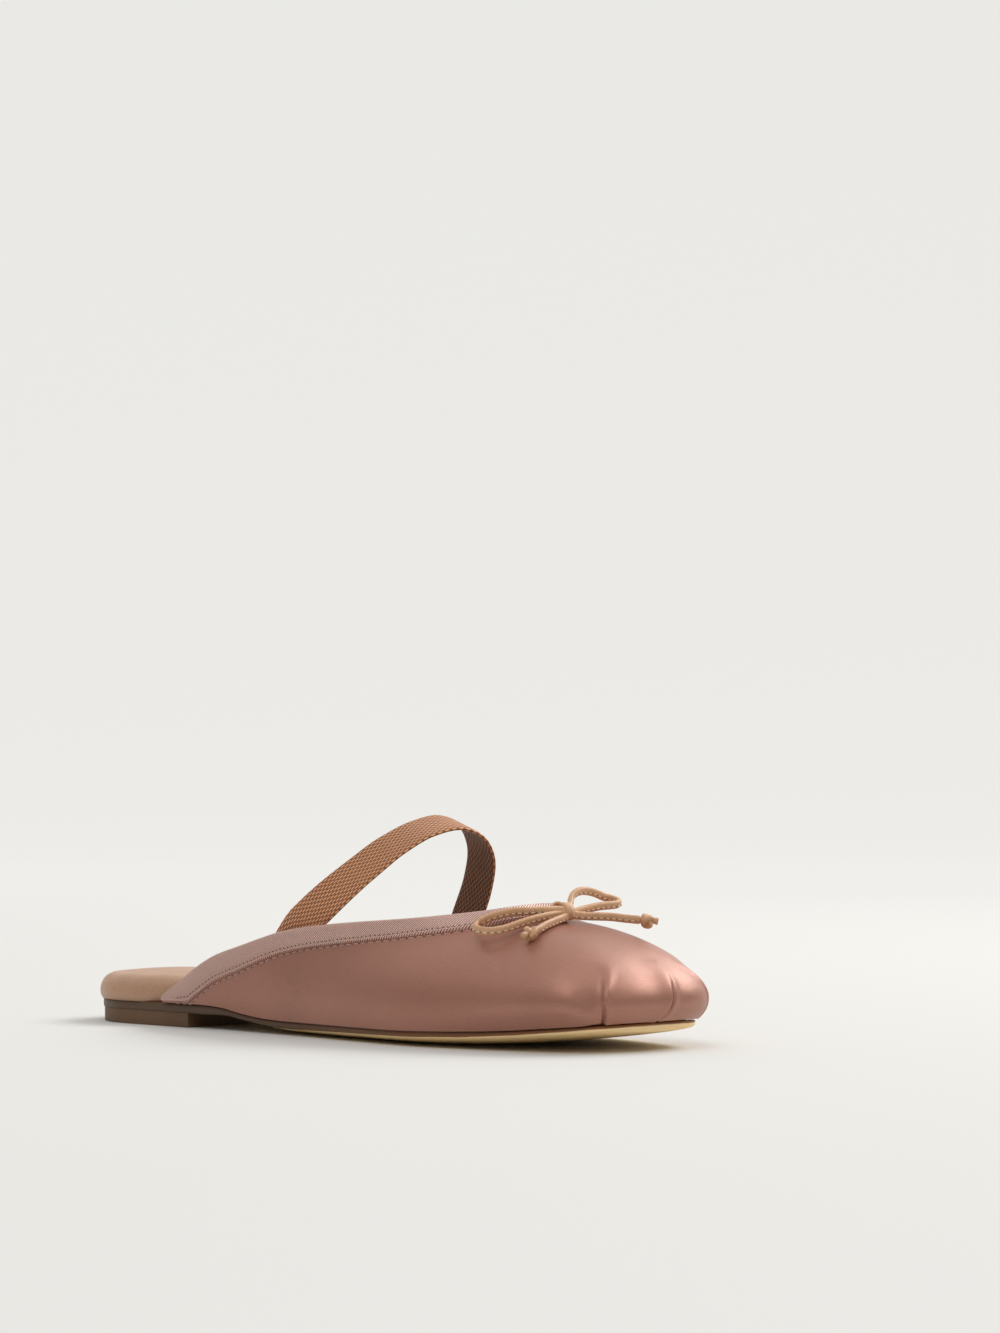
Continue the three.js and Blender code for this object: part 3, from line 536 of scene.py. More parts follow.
class Look:
    def __init__(self, name):
        self.mat = bpy.data.materials.new(name)
        self.mat.use_nodes = True
        self.tree = self.mat.node_tree
        self.bsdf = self.tree.nodes["Principled BSDF"]
        self.uv = None

    def put(self, **values):
        for key, value in values.items():
            self.bsdf.inputs[key.replace("_", " ")].default_value = value

    def node(self, kind, inputs=None, **props):
        n = self.tree.nodes.new(kind)
        for key, value in props.items():
            setattr(n, key, value)
        for key, value in (inputs or {}).items():
            if isinstance(value, bpy.types.NodeSocket):
                self.tree.links.new(value, n.inputs[key])
            else:
                n.inputs[key].default_value = value
        return n

    def to(self, name, socket):
        self.tree.links.new(socket, self.bsdf.inputs[name])

    def math(self, operation, *values):
        return self.node("ShaderNodeMath", dict(enumerate(values)), operation=operation).outputs[0]

    def times(self, a, b):
        return self.math("MULTIPLY", a, b)

    # The UV map in millimetres: both together, u and v
    def mm(self):
        if self.uv is None:
            uv = self.node("ShaderNodeUVMap", uv_map="mm")
            parts = self.node("ShaderNodeSeparateXYZ", {0: uv.outputs[0]})
            self.uv = (uv.outputs[0], parts.outputs[0], parts.outputs[1])
        return self.uv

    def place(self):
        return self.node("ShaderNodeTexCoord").outputs["Object"]

    def noise(self, scale, detail=3.0, rough=0.5, vector=None):
        inputs = {"Vector": vector or self.place(), "Scale": scale, "Detail": detail, "Roughness": rough}
        return self.node("ShaderNodeTexNoise", inputs).outputs[0]

    def stretched(self, x, y):
        return self.node("ShaderNodeMapping", {0: self.mm()[0], "Scale": (x, y, 1.0)}).outputs[0]

    def ramp(self, value, *stops):
        n = self.node("ShaderNodeValToRGB", {0: value})
        fill_ramp(n, stops)
        return n.outputs[0]

    def mix(self, share, a, b):
        inputs = {0: share}
        for key, value in ((6, a), (7, b)):
            inputs[key] = value if isinstance(value, bpy.types.NodeSocket) else (*value, 1)
        return self.node("ShaderNodeMix", inputs, data_type="RGBA").outputs[2]

    def bump(self, height, distance, strength, before=None):
        inputs = {"Height": height, "Distance": distance, "Strength": strength}
        if before is not None:
            inputs["Normal"] = before
        return self.node("ShaderNodeBump", inputs).outputs[0]


def srgb(r, g, b):
    def one(v):
        v /= 255
        return v / 12.92 if v <= 0.04045 else ((v + 0.055) / 1.055) ** 2.4

    return (one(r), one(g), one(b))


# Satin: floats run along the shoe, so the gloss spreads across them
def satin_look():
    s = Look("satin")
    cloud = s.noise(28.0, 4.0, 0.55)
    tone = s.ramp(cloud, (0.3, srgb(156, 104, 86)), (0.7, srgb(168, 114, 95)))
    thread = s.noise(1.0, 2.0, 0.6, vector=s.stretched(0.35, 3.2))
    tone = s.mix(s.times(thread, 0.34), tone, srgb(205, 160, 144))
    s.to("Base Color", tone)
    s.put(Metallic=0.34, Roughness=0.38, Anisotropic=0.4, Specular_IOR_Level=0.55)
    weave = s.noise(1.0, 1.0, 0.5, vector=s.stretched(0.8, 4.0))
    s.to("Normal", s.bump(weave, 0.00007, 0.8, s.bump(s.noise(60.0, 3.0), 0.00035, 0.5)))
    return s.mat


# Grosgrain tape with slanting ribs, dark in the rib valleys as painted shade and light on the crests as
# painted highlight
RIB_PITCH = 1.0
RIB_SLANT = 0.8


def tape_look():
    s = Look("grosgrain")
    _, u, v = s.mm()
    slant = s.math("ADD", u, s.times(v, RIB_SLANT))
    wave = s.math("SINE", s.times(slant, 2 * math.pi / RIB_PITCH))
    rib = s.math("POWER", s.math("MULTIPLY_ADD", wave, 0.5, 0.5), 0.7)
    # Rib colour follows the rib wave: painted shade in the valleys, painted highlight on the crests
    colour = s.mix(rib, srgb(104, 64, 56), srgb(252, 202, 186))
    grain = s.noise(1.0, 2.0, 0.6, vector=s.stretched(0.5, 2.5))
    colour = s.mix(s.times(grain, 0.2), colour, srgb(212, 178, 168))
    s.to("Base Color", colour)
    s.put(Metallic=0.2, Roughness=0.36, Specular_IOR_Level=0.9, Sheen_Weight=0.15, Sheen_Roughness=0.4)
    s.to("Normal", s.bump(rib, 0.0002, 1.0))
    return s.mat


# Elastic webbing in a basket weave; level darkens all of it, and the strap's inner face uses a copy at 0.4 as
# painted shade
WEAVE_PITCH = 1.25


def webbing_look(name, level):
    def shade(r, g, b):
        return tuple(level * c for c in srgb(r, g, b))

    s = Look(name)
    _, u, v = s.mm()
    a = s.times(u, math.pi / WEAVE_PITCH)
    b = s.times(v, math.pi / (0.62 * WEAVE_PITCH))
    checker = s.times(s.math("SINE", a), s.math("SINE", b))
    over = s.math("MULTIPLY_ADD", checker, 0.5, 0.5)
    ribs = s.math("ABSOLUTE", s.math("SINE", b))
    height = s.math("MULTIPLY_ADD", ribs, 0.45, s.times(over, 0.55))
    # Colour follows the weave's height: painted shade in its low parts, painted highlight on its raised
    # threads
    tones = [(0.18, shade(40, 20, 12)), (0.42, shade(140, 84, 50)), (0.78, shade(252, 180, 126))]
    colour = s.ramp(height, *tones)
    fuzz = s.noise(1.0, 3.0, 0.7, vector=s.stretched(3.0, 3.0))
    colour = s.mix(s.times(fuzz, 0.18), colour, shade(126, 78, 50))
    s.to("Base Color", colour)
    s.put(Roughness=0.75, Sheen_Weight=0.25)
    s.to("Normal", s.bump(height, 0.00035, 0.9))
    return s.mat


# Leather: clouds from dark to light, and fine pores
def leather_look(name, dark, light, roughness, grain, depth=0.00006):
    s = Look(name)
    tone = s.ramp(s.noise(40.0, 5.0, 0.6), (0.3, dark), (0.7, light))
    inputs = {"Vector": s.place(), "Scale": grain}
    cell = s.node("ShaderNodeTexVoronoi", inputs, feature="DISTANCE_TO_EDGE").outputs[0]
    pores = s.math("MINIMUM", s.times(cell, 6.0), 1.0)
    deep = s.times(s.math("SUBTRACT", 1.0, pores), 0.3)
    s.to("Base Color", s.mix(deep, tone, tuple(c * 0.6 for c in dark)))
    s.to("Roughness", s.math("MULTIPLY_ADD", s.noise(220.0, 3.0), 0.2, roughness - 0.1))
    s.to("Normal", s.bump(pores, depth, 0.6, s.bump(s.noise(150.0, 4.0), 0.0003, 0.25)))
    return s


# Sole: burnished brown edge, cream below, the cream made lighter than the leather as painted light from the
# floor; v is the way past the line where the burnish ends
def sole_look():
    s = Look("sole")
    wobble = s.math("MULTIPLY_ADD", s.noise(90.0, 3.0), 0.5, -0.25)
    line = s.math("ADD", s.mm()[2], wobble)
    stacked = s.noise(1.0, 3.0, 0.6, vector=s.stretched(0.03, 2.2))
    along_shoe = s.node("ShaderNodeSeparateXYZ", {"Vector": s.place()}).outputs[0]
    share = s.math("MULTIPLY_ADD", along_shoe, 3.9, 0.5)
    dark = s.ramp(share, (0.35, srgb(76, 52, 34)), (1.0, srgb(118, 70, 32)))
    warm = s.ramp(share, (0.35, srgb(100, 74, 50)), (1.0, srgb(156, 100, 54)))
    brown = s.mix(stacked, dark, warm)
    # Cream underside, lightened beyond its own colour as painted bounce light from the floor
    cream = s.mix(s.noise(70.0, 5.0, 0.6), srgb(255, 214, 152), srgb(255, 228, 174))
    share = s.ramp(s.math("MULTIPLY_ADD", line, 0.5, 0.5), (0.46, (0.0, 0.0, 0.0)), (0.6, (1.0, 1.0, 1.0)))
    s.to("Base Color", s.mix(share, brown, cream))
    s.put(Roughness=0.5)
    s.to("Normal", s.bump(s.noise(400.0, 4.0), 0.0001, 0.4))
    return s.mat


def thread_look(name, colour):
    s = Look(name)
    twist = s.noise(2600.0, 2.0)
    s.to("Base Color", s.mix(twist, tuple(c * 0.75 for c in colour), colour))
    s.put(Roughness=0.55, Sheen_Weight=0.3)
    s.to("Normal", s.bump(twist, 0.0001, 0.5))
    return s.mat


SATIN = satin_look()
GROSGRAIN = tape_look()
WEBBING = webbing_look("webbing", 1.0)
# The webbing at 0.4 of its brightness: painted shade for the strap's inner face
WEBBING_PAINTED_SHADE = webbing_look("webbing_painted_shade", 0.4)
LACE_LEATHER = leather_look("lace_leather", srgb(200, 152, 113), srgb(230, 186, 146), 0.4, 1500.0).mat
FOOTBED_LOOK = leather_look(
    "footbed_leather", srgb(178, 134, 102), srgb(194, 150, 118), 0.44, 1100.0, 0.00003
)
FOOTBED_LOOK.put(Specular_IOR_Level=0.95)
FOOTBED_LEATHER = FOOTBED_LOOK.mat
LINING = leather_look("lining", srgb(150, 108, 84), srgb(172, 128, 100), 0.65, 1100.0).mat
HEEL_LEATHER = leather_look("heel_leather", srgb(104, 76, 51), srgb(116, 87, 61), 0.6, 1600.0, 0.00004).mat
SOLE_LEATHER = sole_look()
LIGHT_THREAD = thread_look("light_thread", srgb(252, 226, 190))
ROSE_THREAD = thread_look("rose_thread", srgb(214, 172, 156))
# Dark thread for short bars between stitches: painted shade in the stitch holes
HOLE_SHADE_THREAD = thread_look("shadow_thread", srgb(64, 40, 34))

# Camera: on the photograph's line of sight
EYE = np.array([1057.92, -900.91, 89.55])
YAW = math.radians(44.154)
TILT = math.radians(1.4766)
SENSOR = 36.0
LENS = 104.1
cam_data = bpy.data.cameras.new("camera")
cam_data.sensor_width = SENSOR
cam_data.lens = LENS
cam_data.clip_start = 0.05
cam_data.clip_end = 20.0
cam = add_object("camera", cam_data)
cam.location = metres(EYE)
cam.rotation_euler = (math.pi / 2 + TILT, 0.0, YAW)
bpy.context.scene.camera = cam


# Several tubes in one piece of lace
def make_joined(name, tubes):
    points = []
    faces = []
    uvs = []
    for tube_points, tube_faces, tube_uvs, _ in tubes:
        faces += [tuple(i + len(points) for i in face) for face in tube_faces]
        points += list(tube_points)
        uvs += list(tube_uvs)
    return make(name, np.array(points), faces, np.array(uvs), LACE_LEATHER)


# Lace bow: two runs of one folded strip, each a loop, the way through the knot and a tail
KNOT = tape_points(np.array([0.0]), np.array([[KNOT_SEAT]]), KNOT_LIFT)[0, 0]
LACE_UP = np.array([0.25, 0.0, 0.97])
LACE_WIDE = 1.38
LACE_THIN = 0.92
LACE_PITCH = 2.1
LACE_STITCH = (1.35, 0.2)
LACE_HOLE = (0.6, 0.17)
SEAM_BESIDE = 0.35
END_KNOT_SIZE = np.array([0.56, 0.56, 0.7])
END_KNOT_AHEAD = 1.8
CORE_POINTS = 24
CORE_BACK = 2.2
CORE_SAG = 0.25
CORE_SIZE = [(0, 1.0), (0.2, 1.3), (0.45, 1.3), (0.6, 0.8), (1.0, 1.25)]


def lace_run(name, offsets, nodes, stopper_name, stopper_node, stub):
    path = smooth_path([KNOT + np.array(p) for p in offsets], 0.35)
    points, faces, uvs, (w, s, sums) = strip_tube(path, LACE_WIDE, LACE_THIN, LACE_UP, taper=(0.5, 0.6))
    run = make(name, points, faces, uvs, LACE_LEATHER)
    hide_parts(*nodes)
    # Small overhand knot near the end, and the stub past it
    lead = unit(path[-1] - path[-4])
    middle = path[-1] + lead * END_KNOT_AHEAD
    t = np.linspace(0, 2 * math.pi, 90, endpoint=False)
    ring = np.stack([np.sin(t) + 2 * np.sin(2 * t), np.cos(t) - 2 * np.cos(2 * t), -1.5 * np.sin(3 * t)], -1)
    up = square_to(LACE_UP, lead)
    basis = np.stack([np.cross(lead, up), up, lead])
    coil = middle + np.vstack([ring, ring[:1]]) * END_KNOT_SIZE @ basis
    core = middle + lead * np.linspace(-CORE_BACK, stub, CORE_POINTS)[:, None]
    core[:, 2] += CORE_SAG * np.sin(np.linspace(0, 3, CORE_POINTS))
    size = np.interp(np.linspace(0, 1, CORE_POINTS), *zip(*CORE_SIZE))
    tubes = [
        strip_tube(coil, 0.98, 0.84, coil - middle, sides=14, power=2.4),
        strip_tube(core, 1.05 * size, 0.8 * size, LACE_UP, sides=12, taper=(0.6, 0.85)),
    ]
    knot = make_joined(stopper_name, tubes)
    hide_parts(stopper_node)
    # Stitch line on both faces of the strip, with dark bars between the stitches as painted shade in the
    # holes
    at = np.arange(4.0, sums[-1] - 2.0, LACE_PITCH)
    centre = along(path, sums, at)
    beside = along(w, sums, at) * SEAM_BESIDE
    face = along(s, sums, at)
    ahead = along(path, sums, at + 0.3) - along(path, sums, at - 0.3)
    lift = face * (LACE_THIN * 0.97)
    places = np.concatenate([centre + lift - beside, centre - lift - beside])
    leads = np.concatenate([ahead, ahead])
    out = np.concatenate([face, -face])
    halfway = places + LACE_PITCH / 2 * unit(leads)
    thread = stitches(name + "_stitches", places, leads, out, *LACE_STITCH, LIGHT_THREAD, "lace")
    hole_shades = stitches(name + "_hole_shades", halfway, leads, out, *LACE_HOLE, HOLE_SHADE_THREAD, "lace")


RUN_A = [(0.6, -0.6, 0.8)] + LOOP_OUTER + [(0.3, -0.6, -0.7)] + TAIL_INNER
RUN_B = [(-0.4, 0.2, 1.0)] + LOOP_INNER + [(0.5, 0.4, -0.9)] + TAIL_OUTER
lace_run("lace_run_a", RUN_A, ["bow_loop_outer", "bow_tail_inner"], "end_knot_inner", "tail_knot_inner", 3.6)
lace_run("lace_run_b", RUN_B, ["bow_loop_inner", "bow_tail_outer"], "end_knot_outer", "tail_knot_outer", 4.2)


# Knot: a wrap of the strip round the runs, a crossing turn and a small ring at its back
def knot_turn(centre, axis, radii, wide, thin, tilt, begin=0.0, end=2 * math.pi):
    axis = unit(np.array(axis))
    a = square_to(np.array([0.0, 0.0, 1.0]), axis)
    b = np.cross(axis, a)
    t = np.linspace(begin, end, 60)[:, None]
    path = KNOT + np.array(centre) + a * radii[0] * np.cos(t) + b * radii[1] * np.sin(t)
    return strip_tube(path + axis * tilt * np.sin(t), wide, thin, axis, sides=16, power=2.6)


angle = np.linspace(0, math.pi, 20)
core_path = KNOT + np.array([-0.6, -0.5, 0]) + np.array([0.1, 0.93, -0.1]) * (-2.9 * np.cos(angle))[:, None]
core_size = 1.9 * np.sin(angle) ** 0.6 + 0.05
turns = [
    knot_turn((-0.9, -0.9, 0.2), (0.35, 0.93, -0.05), (2.2, 2.4), 1.55, 0.75, 0.7),
    knot_turn((-0.3, 0.2, 0.0), (0.8, 0.55, 0.35), (2.1, 2.5), 1.1, 0.7, 0.8, 0.2, 3.0),
    knot_turn((-2.5, -2.5, 1.5), (0.55, -0.6, 0.5), (1.5, 1.8), 0.8, 0.5, 0.2),
    strip_tube(core_path, core_size * 0.95, core_size * 1.05, LACE_UP, sides=20, power=2.2),
]
knot = make_joined("bow_wrap", turns)
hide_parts("bow_knot")

# Upper: satin outside with its pleats, lining inside
UPPER_ROWS = 84
LINING_ROWS = 24
TOE_SHARE = 0.14
TOE_SPACING = 0.0013
REAR_COLUMNS = 230
ROW_CROWDING = 1.15
toe_side = np.arange(0, TOE_SHARE, TOE_SPACING)
half_side = np.concatenate([toe_side, np.linspace(TOE_SHARE, 1, REAR_COLUMNS)])
around = np.concatenate([-half_side[:0:-1], half_side])
UPPER_COLUMNS = len(around)
up = np.tile(np.linspace(0, 1, UPPER_ROWS) ** ROW_CROWDING, (UPPER_COLUMNS, 1))
skin_points, skin_normals = skin(around, up)
whole = sections(around)[1][:, -1]


# Soft folds: each is a line down the skin, by its places round and up the upper, with the depths of its soft
# valley and of the sharp crease in it, the valley's half-widths before and after, and the height and distance
# of a small ridge. FOLDS adds the side that comes after, the swelling before it, and how far before the
# crease the valley lies. A valley below zero is a low ridge.
FOLD_NAMES = "around up valley crease before after ridge reach"
CORNER_OUTER = table(
    FOLD_NAMES,
    (-0.084, 0.36, 0.0, 0.0, 7.0, 3.2, 0.0, 4.0), (-0.0895, 0.267, 0.6, 0.0, 6.5, 2.6, 0.4, 2.6),
    (-0.0945, 0.192, 1.3, 0.3, 6.2, 1.9, 0.7, 1.8), (-0.098, 0.133, 1.9, 1.0, 5.8, 1.6, 0.7, 1.4),
    (-0.0965, 0.083, 1.7, 1.6, 4.8, 1.4, 0.5, 1.3), (-0.0965, 0.0, 0.5, 2.0, 4.0, 1.4, 0.3, 1.3),
)
CORNER_INNER = {k: v * (-1.06 if k == "around" else 1) for k, v in CORNER_OUTER.items()}
MIDDLE = table(
    FOLD_NAMES,
    (0.0225, 0.36, 0.0, 0.0, 6.0, 3.6, 0.0, 3.0), (0.0225, 0.25, -0.7, 0.0, 5.5, 3.2, 0.0, 3.0),
    (0.0175, 0.195, -1.2, 0.7, 5.0, 2.9, 0.0, 3.0), (0.0138, 0.165, -1.3, 1.6, 4.6, 2.7, 0.0, 3.0),
    (0.007, 0.092, -1.0, 1.8, 4.0, 2.4, 0.0, 3.0), (0.001, 0.05, -0.7, 1.6, 3.5, 2.2, 0.0, 3.0),
    (-0.0085, 0.0, -0.3, 1.4, 3.0, 2.0, 0.0, 3.0),
)
FOLDS = [(CORNER_OUTER, 1, 0.2, 1.4), (MIDDLE, 1, 0.0, 0.0), (CORNER_INNER, -1, 0.2, 1.4)]
FOLD_REACH = 45
CREASE_BEFORE = 0.22
CREASE_AFTER = 0.45


def fold_offset(points, normals):
    total = np.zeros(points.shape[:2])
    for fold, after_side, swell, early in FOLDS:
        rows = np.column_stack(list(fold.values()))
        rows[:, :2] *= 100
        fine = smooth_path(np.column_stack([rows[:, :2], np.zeros(len(rows))]), 0.6)
        marks = running(rows[:, :2])
        run = running(fine[:, :2])
        run = run * marks[-1] / run[-1]
        line = np.array([skin(np.array([a]), np.array([[u]]))[0][0, 0] for a, u in fine[:, :2] / 100])
        near = norm(points - line[len(line) // 2]) < FOLD_REACH
        p = points[near]
        nn = normals[near]
        best = np.full(len(p), 1e9)
        sign = np.zeros(len(p))
        way = np.zeros(len(p))
        for i in range(len(line) - 1):
            a = line[i]
            d = line[i + 1] - a
            h = np.clip(((p - a) @ d) / d.dot(d), 0, 1)
            off = p - a - h[:, None] * d
            dist = norm(off)
            closer = dist < best
            best = np.where(closer, dist, best)
            side = np.sign(np.sum(np.cross(np.broadcast_to(d, off.shape), off) * nn, 1))
            sign = np.where(closer, side, sign)
            way = np.where(closer, run[i] + h * (run[i + 1] - run[i]), way)
        values = [np.interp(way, marks, column) for column in rows.T[2:]]
        valley, crease, before, after, ridge, reach = values
        signed = best * sign * after_side
        shifted = signed + early
        half = np.where(shifted < 0, before, after)
        narrow = np.where(signed < 0, CREASE_BEFORE, CREASE_AFTER)
        low = valley * np.exp(-((shifted / half) ** 2)) + crease * np.exp(-np.abs(signed) / narrow)
        rise = ridge * np.exp(-(((signed - reach) / (0.75 * reach)) ** 2))
        other = swell * valley * np.exp(-(((signed + 1.9 * before) / (0.8 * before)) ** 2))
        total[near] += rise + other - low
    return total


offset = fold_offset(skin_points, skin_normals)
outside = skin_points + skin_normals * offset[..., None]
picks = np.round(np.linspace(UPPER_ROWS - 1, 0, LINING_ROWS)).astype(int)
sunk = np.minimum(offset, 0) - WALL
inside = (skin_points + skin_normals * sunk[..., None])[:, picks]
u = running(skin_points[:, UPPER_ROWS // 3])[:, None]
v = np.concatenate([up, 2 - up[:, picks]], 1) * whole[:, None]
upper = make_grid("satin_upper", np.concatenate([outside, inside], 1), u, v, SATIN, "satin")
lining_and_shade_inside(upper, LINING, UPPER_COLUMNS, UPPER_ROWS + LINING_ROWS, UPPER_ROWS)
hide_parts("upper")

# Binding: one folded tape; its lower edge is turned under and stands up as a small roll
PROFILE_OUT = [
    (1.0, 0.02), (0.995, 0.35), (0.975, 0.8), (0.94, 1.08), (0.9, 1.16), (0.86, 1.08), (0.82, 0.86),
    (0.79, 0.72), (0.75, 0.78), (0.68, 0.9), (0.5, 0.98), (0.3, 1.02), (0.12, 1.04), (0.0, 1.02),
]
TAPE_COLUMNS = 900
TAPE_CROWDING = 1.2
TAPE_STAND = 1.02


# Places round the topline, closer together at the throat
def tape_places(end, count):
    share = np.linspace(-end, end, count)
    return np.sign(share) * np.abs(share) ** TAPE_CROWDING


tape_around = tape_places(1, TAPE_COLUMNS)
depth = tape_depth(tape_around)
downs = [s * depth for s, _ in PROFILE_OUT]
offs = [np.full(TAPE_COLUMNS, o) for _, o in PROFILE_OUT]
for turn in np.linspace(0.15, 0.85, 6) * math.pi:
    downs.append(np.full(TAPE_COLUMNS, -TAPE_STAND * math.sin(turn)))
    offs.append(np.full(TAPE_COLUMNS, -WALL / 2 + (WALL / 2 + TAPE_STAND) * math.cos(turn)))
for s in (0.0, 0.2, 0.4, 0.6, 0.8, 0.96, 1.0):
    downs.append(s * depth)
    offs.append(np.full(TAPE_COLUMNS, -WALL - (1.0 if s < 0.98 else 0.5)))
downs.append(depth)
offs.append(np.full(TAPE_COLUMNS, -WALL - 0.05))
tape = tape_points(tape_around, np.stack(downs, 1), np.stack(offs, 1))
edge = len(PROFILE_OUT) - 1
steps = norm(np.diff(tape, axis=1))
v = np.concatenate([np.zeros((TAPE_COLUMNS, 1)), np.cumsum(steps, 1)], 1)
u = running(tape[:, edge])[:, None]
binding = make_grid("binding_tape", tape, u, v[:, edge : edge + 1] - v, GROSGRAIN, "tape", wrap=False)
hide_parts("topline_binding")


ROW_END = 0.985
ROW_POINTS = 1400
ROW_MARGIN = 4.0
LEAD_REACH = 0.4
HOLE_OVERLAP = 0.35
HOLE_SINK = 0.03


# Stitch rows on the tape and on the satin under it, with dark bars between the stitches as painted shade in
# the holes; share is the row's way down the tape
def stitch_row(name, share, off, pitch, length, radius, slot):
    a = tape_places(ROW_END, ROW_POINTS)
    down = (tape_depth(a) * share)[:, None]
    line = tape_points(a, down, off)[:, 0]
    normal = tape_points(a, down, off + 1.0)[:, 0] - line
    sums = running(line)
    at = np.arange(ROW_MARGIN, sums[-1] - ROW_MARGIN, pitch)
    ahead = along(line, sums, at + LEAD_REACH)
    behind = along(line, sums, at - LEAD_REACH)
    for kind, start, long, wide, lift, thread in (
        ("", 0.0, length, radius, 0.0, ROSE_THREAD),
        ("_hole_shades", pitch / 2, 0.5 * (pitch - length) + HOLE_OVERLAP, 0.8 * radius, -HOLE_SINK, HOLE_SHADE_THREAD),
    ):
        normals = along(normal, sums, at + start)
        places = along(line, sums, at + start) + lift * normals
        stitches(name + kind, places, ahead - behind, normals, long, wide, thread, slot)


stitch_row("tape_stitches", 0.785, 0.86, 1.9, 1.2, 0.25, "tape")
stitch_row("satin_stitches", 1.1, 0.06, 3.4, 2.2, 0.18, "satin")


# Strap
STRAP_COLUMNS = 33
STRAP_SQUARENESS = 14


def seat_point(side, x, down):
    low, high = 0.0, 1.0
    for _ in range(30):
        middle = (low + high) / 2
        if sections(np.array([side * middle]))[0][0, -1, 0] > x:
            low = middle
        else:
            high = middle
    off = -(WALL + 1.5 * GAP + TAPE + GAP + STRAP_THICKNESS)
    return tape_points(np.array([side * low]), np.array([[down]]), off)[0, 0]


outer_seat = seat_point(OUTER, STRAP_SEAT_OUTER, 0.0)
inner_seat = seat_point(INNER, STRAP_SEAT_INNER, 0.0)
back = 0.8 * STRAP_TUCK
rows = [seat_point(OUTER, STRAP_SEAT_OUTER - back, STRAP_TUCK), outer_seat]
slopes = [STRAP["slope"][0]] * 2
for across, rise, lean, angle in zip(*STRAP.values()):
    p = outer_seat + (inner_seat - outer_seat) * across
    rows.append(p + np.array([lean * STRAP_LEAN, 0, rise * STRAP_RISE]))
    slopes.append(angle)
rows += [inner_seat, seat_point(INNER, STRAP_SEAT_INNER - back / 2, STRAP_TUCK)]
slopes += [STRAP["slope"][-1]] * 2
rows = np.array(rows)
path = smooth_path(rows, 0.5)
sums = running(path)
marks = [float(sums[np.argmin(norm(path - r))]) for r in rows]
slope = np.radians(np.interp(sums, marks, slopes))
tangent = unit(np.gradient(path, axis=0))
w = square_to(np.stack([np.cos(slope), np.zeros_like(slope), -np.sin(slope)], -1), tangent)
n = np.cross(w, tangent)
across = np.linspace(-1, 1, STRAP_COLUMNS)
body = STRAP_THICKNESS / 2 * (1 - np.abs(across) ** STRAP_SQUARENESS) ** 0.5
ring_w = STRAP_WIDTH / 2 * np.concatenate([across, across[::-1][1:-1]])
ring_t = np.concatenate([body, -body[1:-1]])
strap_points = path[:, None] + w[:, None] * ring_w[None, :, None] + n[:, None] * ring_t[None, :, None]
strap = make_grid("webbing_strap", strap_points, sums[:, None], ring_w[None], WEBBING, "webbing", flip=True)
# The strap's inner face takes the darker webbing copy: painted shade
lining_and_shade_inside(strap, WEBBING_PAINTED_SHADE, len(path), len(ring_w), len(across))
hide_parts("instep_strap")

# Sole
STATIONS = 220
ACROSS = 24
END_CROWDING = 0.045


# Closed plate over the sole's outline: rings from bottom to top, then the two faces across. In its UV map
# v is the way from the top edge.
def plate(name, levels, bottom, top, material, burnish=None):
    share = np.linspace(0, 1, STATIONS + 1)
    turns = share - END_CROWDING * np.sin(2 * math.pi * share)
    line = {}
    for side in (OUTER, INNER):
        bare = outline_point(side, turns)
        length = np.interp(turns, np.linspace(0, 1, FINE + 1), SIDES[side][1])
        point, out = outline_at(side, length)
        line[side] = (bare[:, 0], point, out)
    loop = [np.concatenate([line[OUTER][k], line[INNER][k][-2:0:-1]]) for k in range(3)]
    loop_x, loop_p, loop_o = loop
    m = len(loop_x)
    run = running(np.vstack([loop_p, loop_p[:1]]))[:-1]
    rings = []
    for out, z in levels:
        rings.append(np.column_stack([loop_p + loop_o * out(loop_x)[:, None], z(loop_x)]))
    ways = [np.zeros(m)]
    for i in range(len(rings) - 1, 0, -1):
        ways.insert(0, ways[0] + norm(rings[i] - rings[i - 1]))
    points = list(np.concatenate(rings))
    uvs = [pair for way in ways for pair in np.column_stack([run, way])]
    faces = grid_faces(len(rings), m, wrap=True, flip=True)

    def cap(start, height, is_top, way):
        rows = []
        for i in range(STATIONS + 1):
            o = start + i
            n = start + (m - i if 0 < i < STATIONS else i)
            if o == n:
                rows.append([o] * (ACROSS + 1))
                continue
            row = [o]
            a = points[o]
            b = points[n]
            for k in range(1, ACROSS):
                s = 0.5 - 0.5 * math.cos(math.pi * k / ACROSS)
                p = a + (b - a) * s
                p[2] = float(height(loop_x[i], 2 * s - 1))
                row.append(len(points))
                points.append(p)
                uvs.append((run[i], way + min(norm(p - a), norm(p - b))))
            rows.append(row + [n])
        for i in range(STATIONS):
            for k in range(ACROSS):
                q = [rows[i][k], rows[i][k + 1], rows[i + 1][k + 1], rows[i + 1][k]]
                q = [v for j, v in enumerate(q) if v not in q[:j]]
                if len(q) > 2:
                    faces.append(tuple(q if is_top else reversed(q)))

    cap(0, bottom, False, float(ways[0].mean()))
    cap((len(rings) - 1) * m, top, True, 0.0)
    points = np.array(points)
    uvs = np.array(uvs)
    if burnish is not None:
        uvs[:, 1] -= burnish(points[:, 0])
    return make(name, points, faces, uvs, material)


def underside(column, x):
    return read(UNDERSIDE, column, x / SOLE_LENGTH)


def rim_bottom(x):
    return edge_height(x) - underside("edge", x)


def constant(value):
    return lambda x: np.full_like(x, value)


def between(share):
    return lambda x: rim_bottom(x) + share * underside("edge", x)


def sole_bottom(x, across):
    belly = underside("belly", x) * BALL_EDGE * (1 - np.abs(across) ** 2.6) ** 0.8
    return np.maximum(rim_bottom(x) - belly, 0)


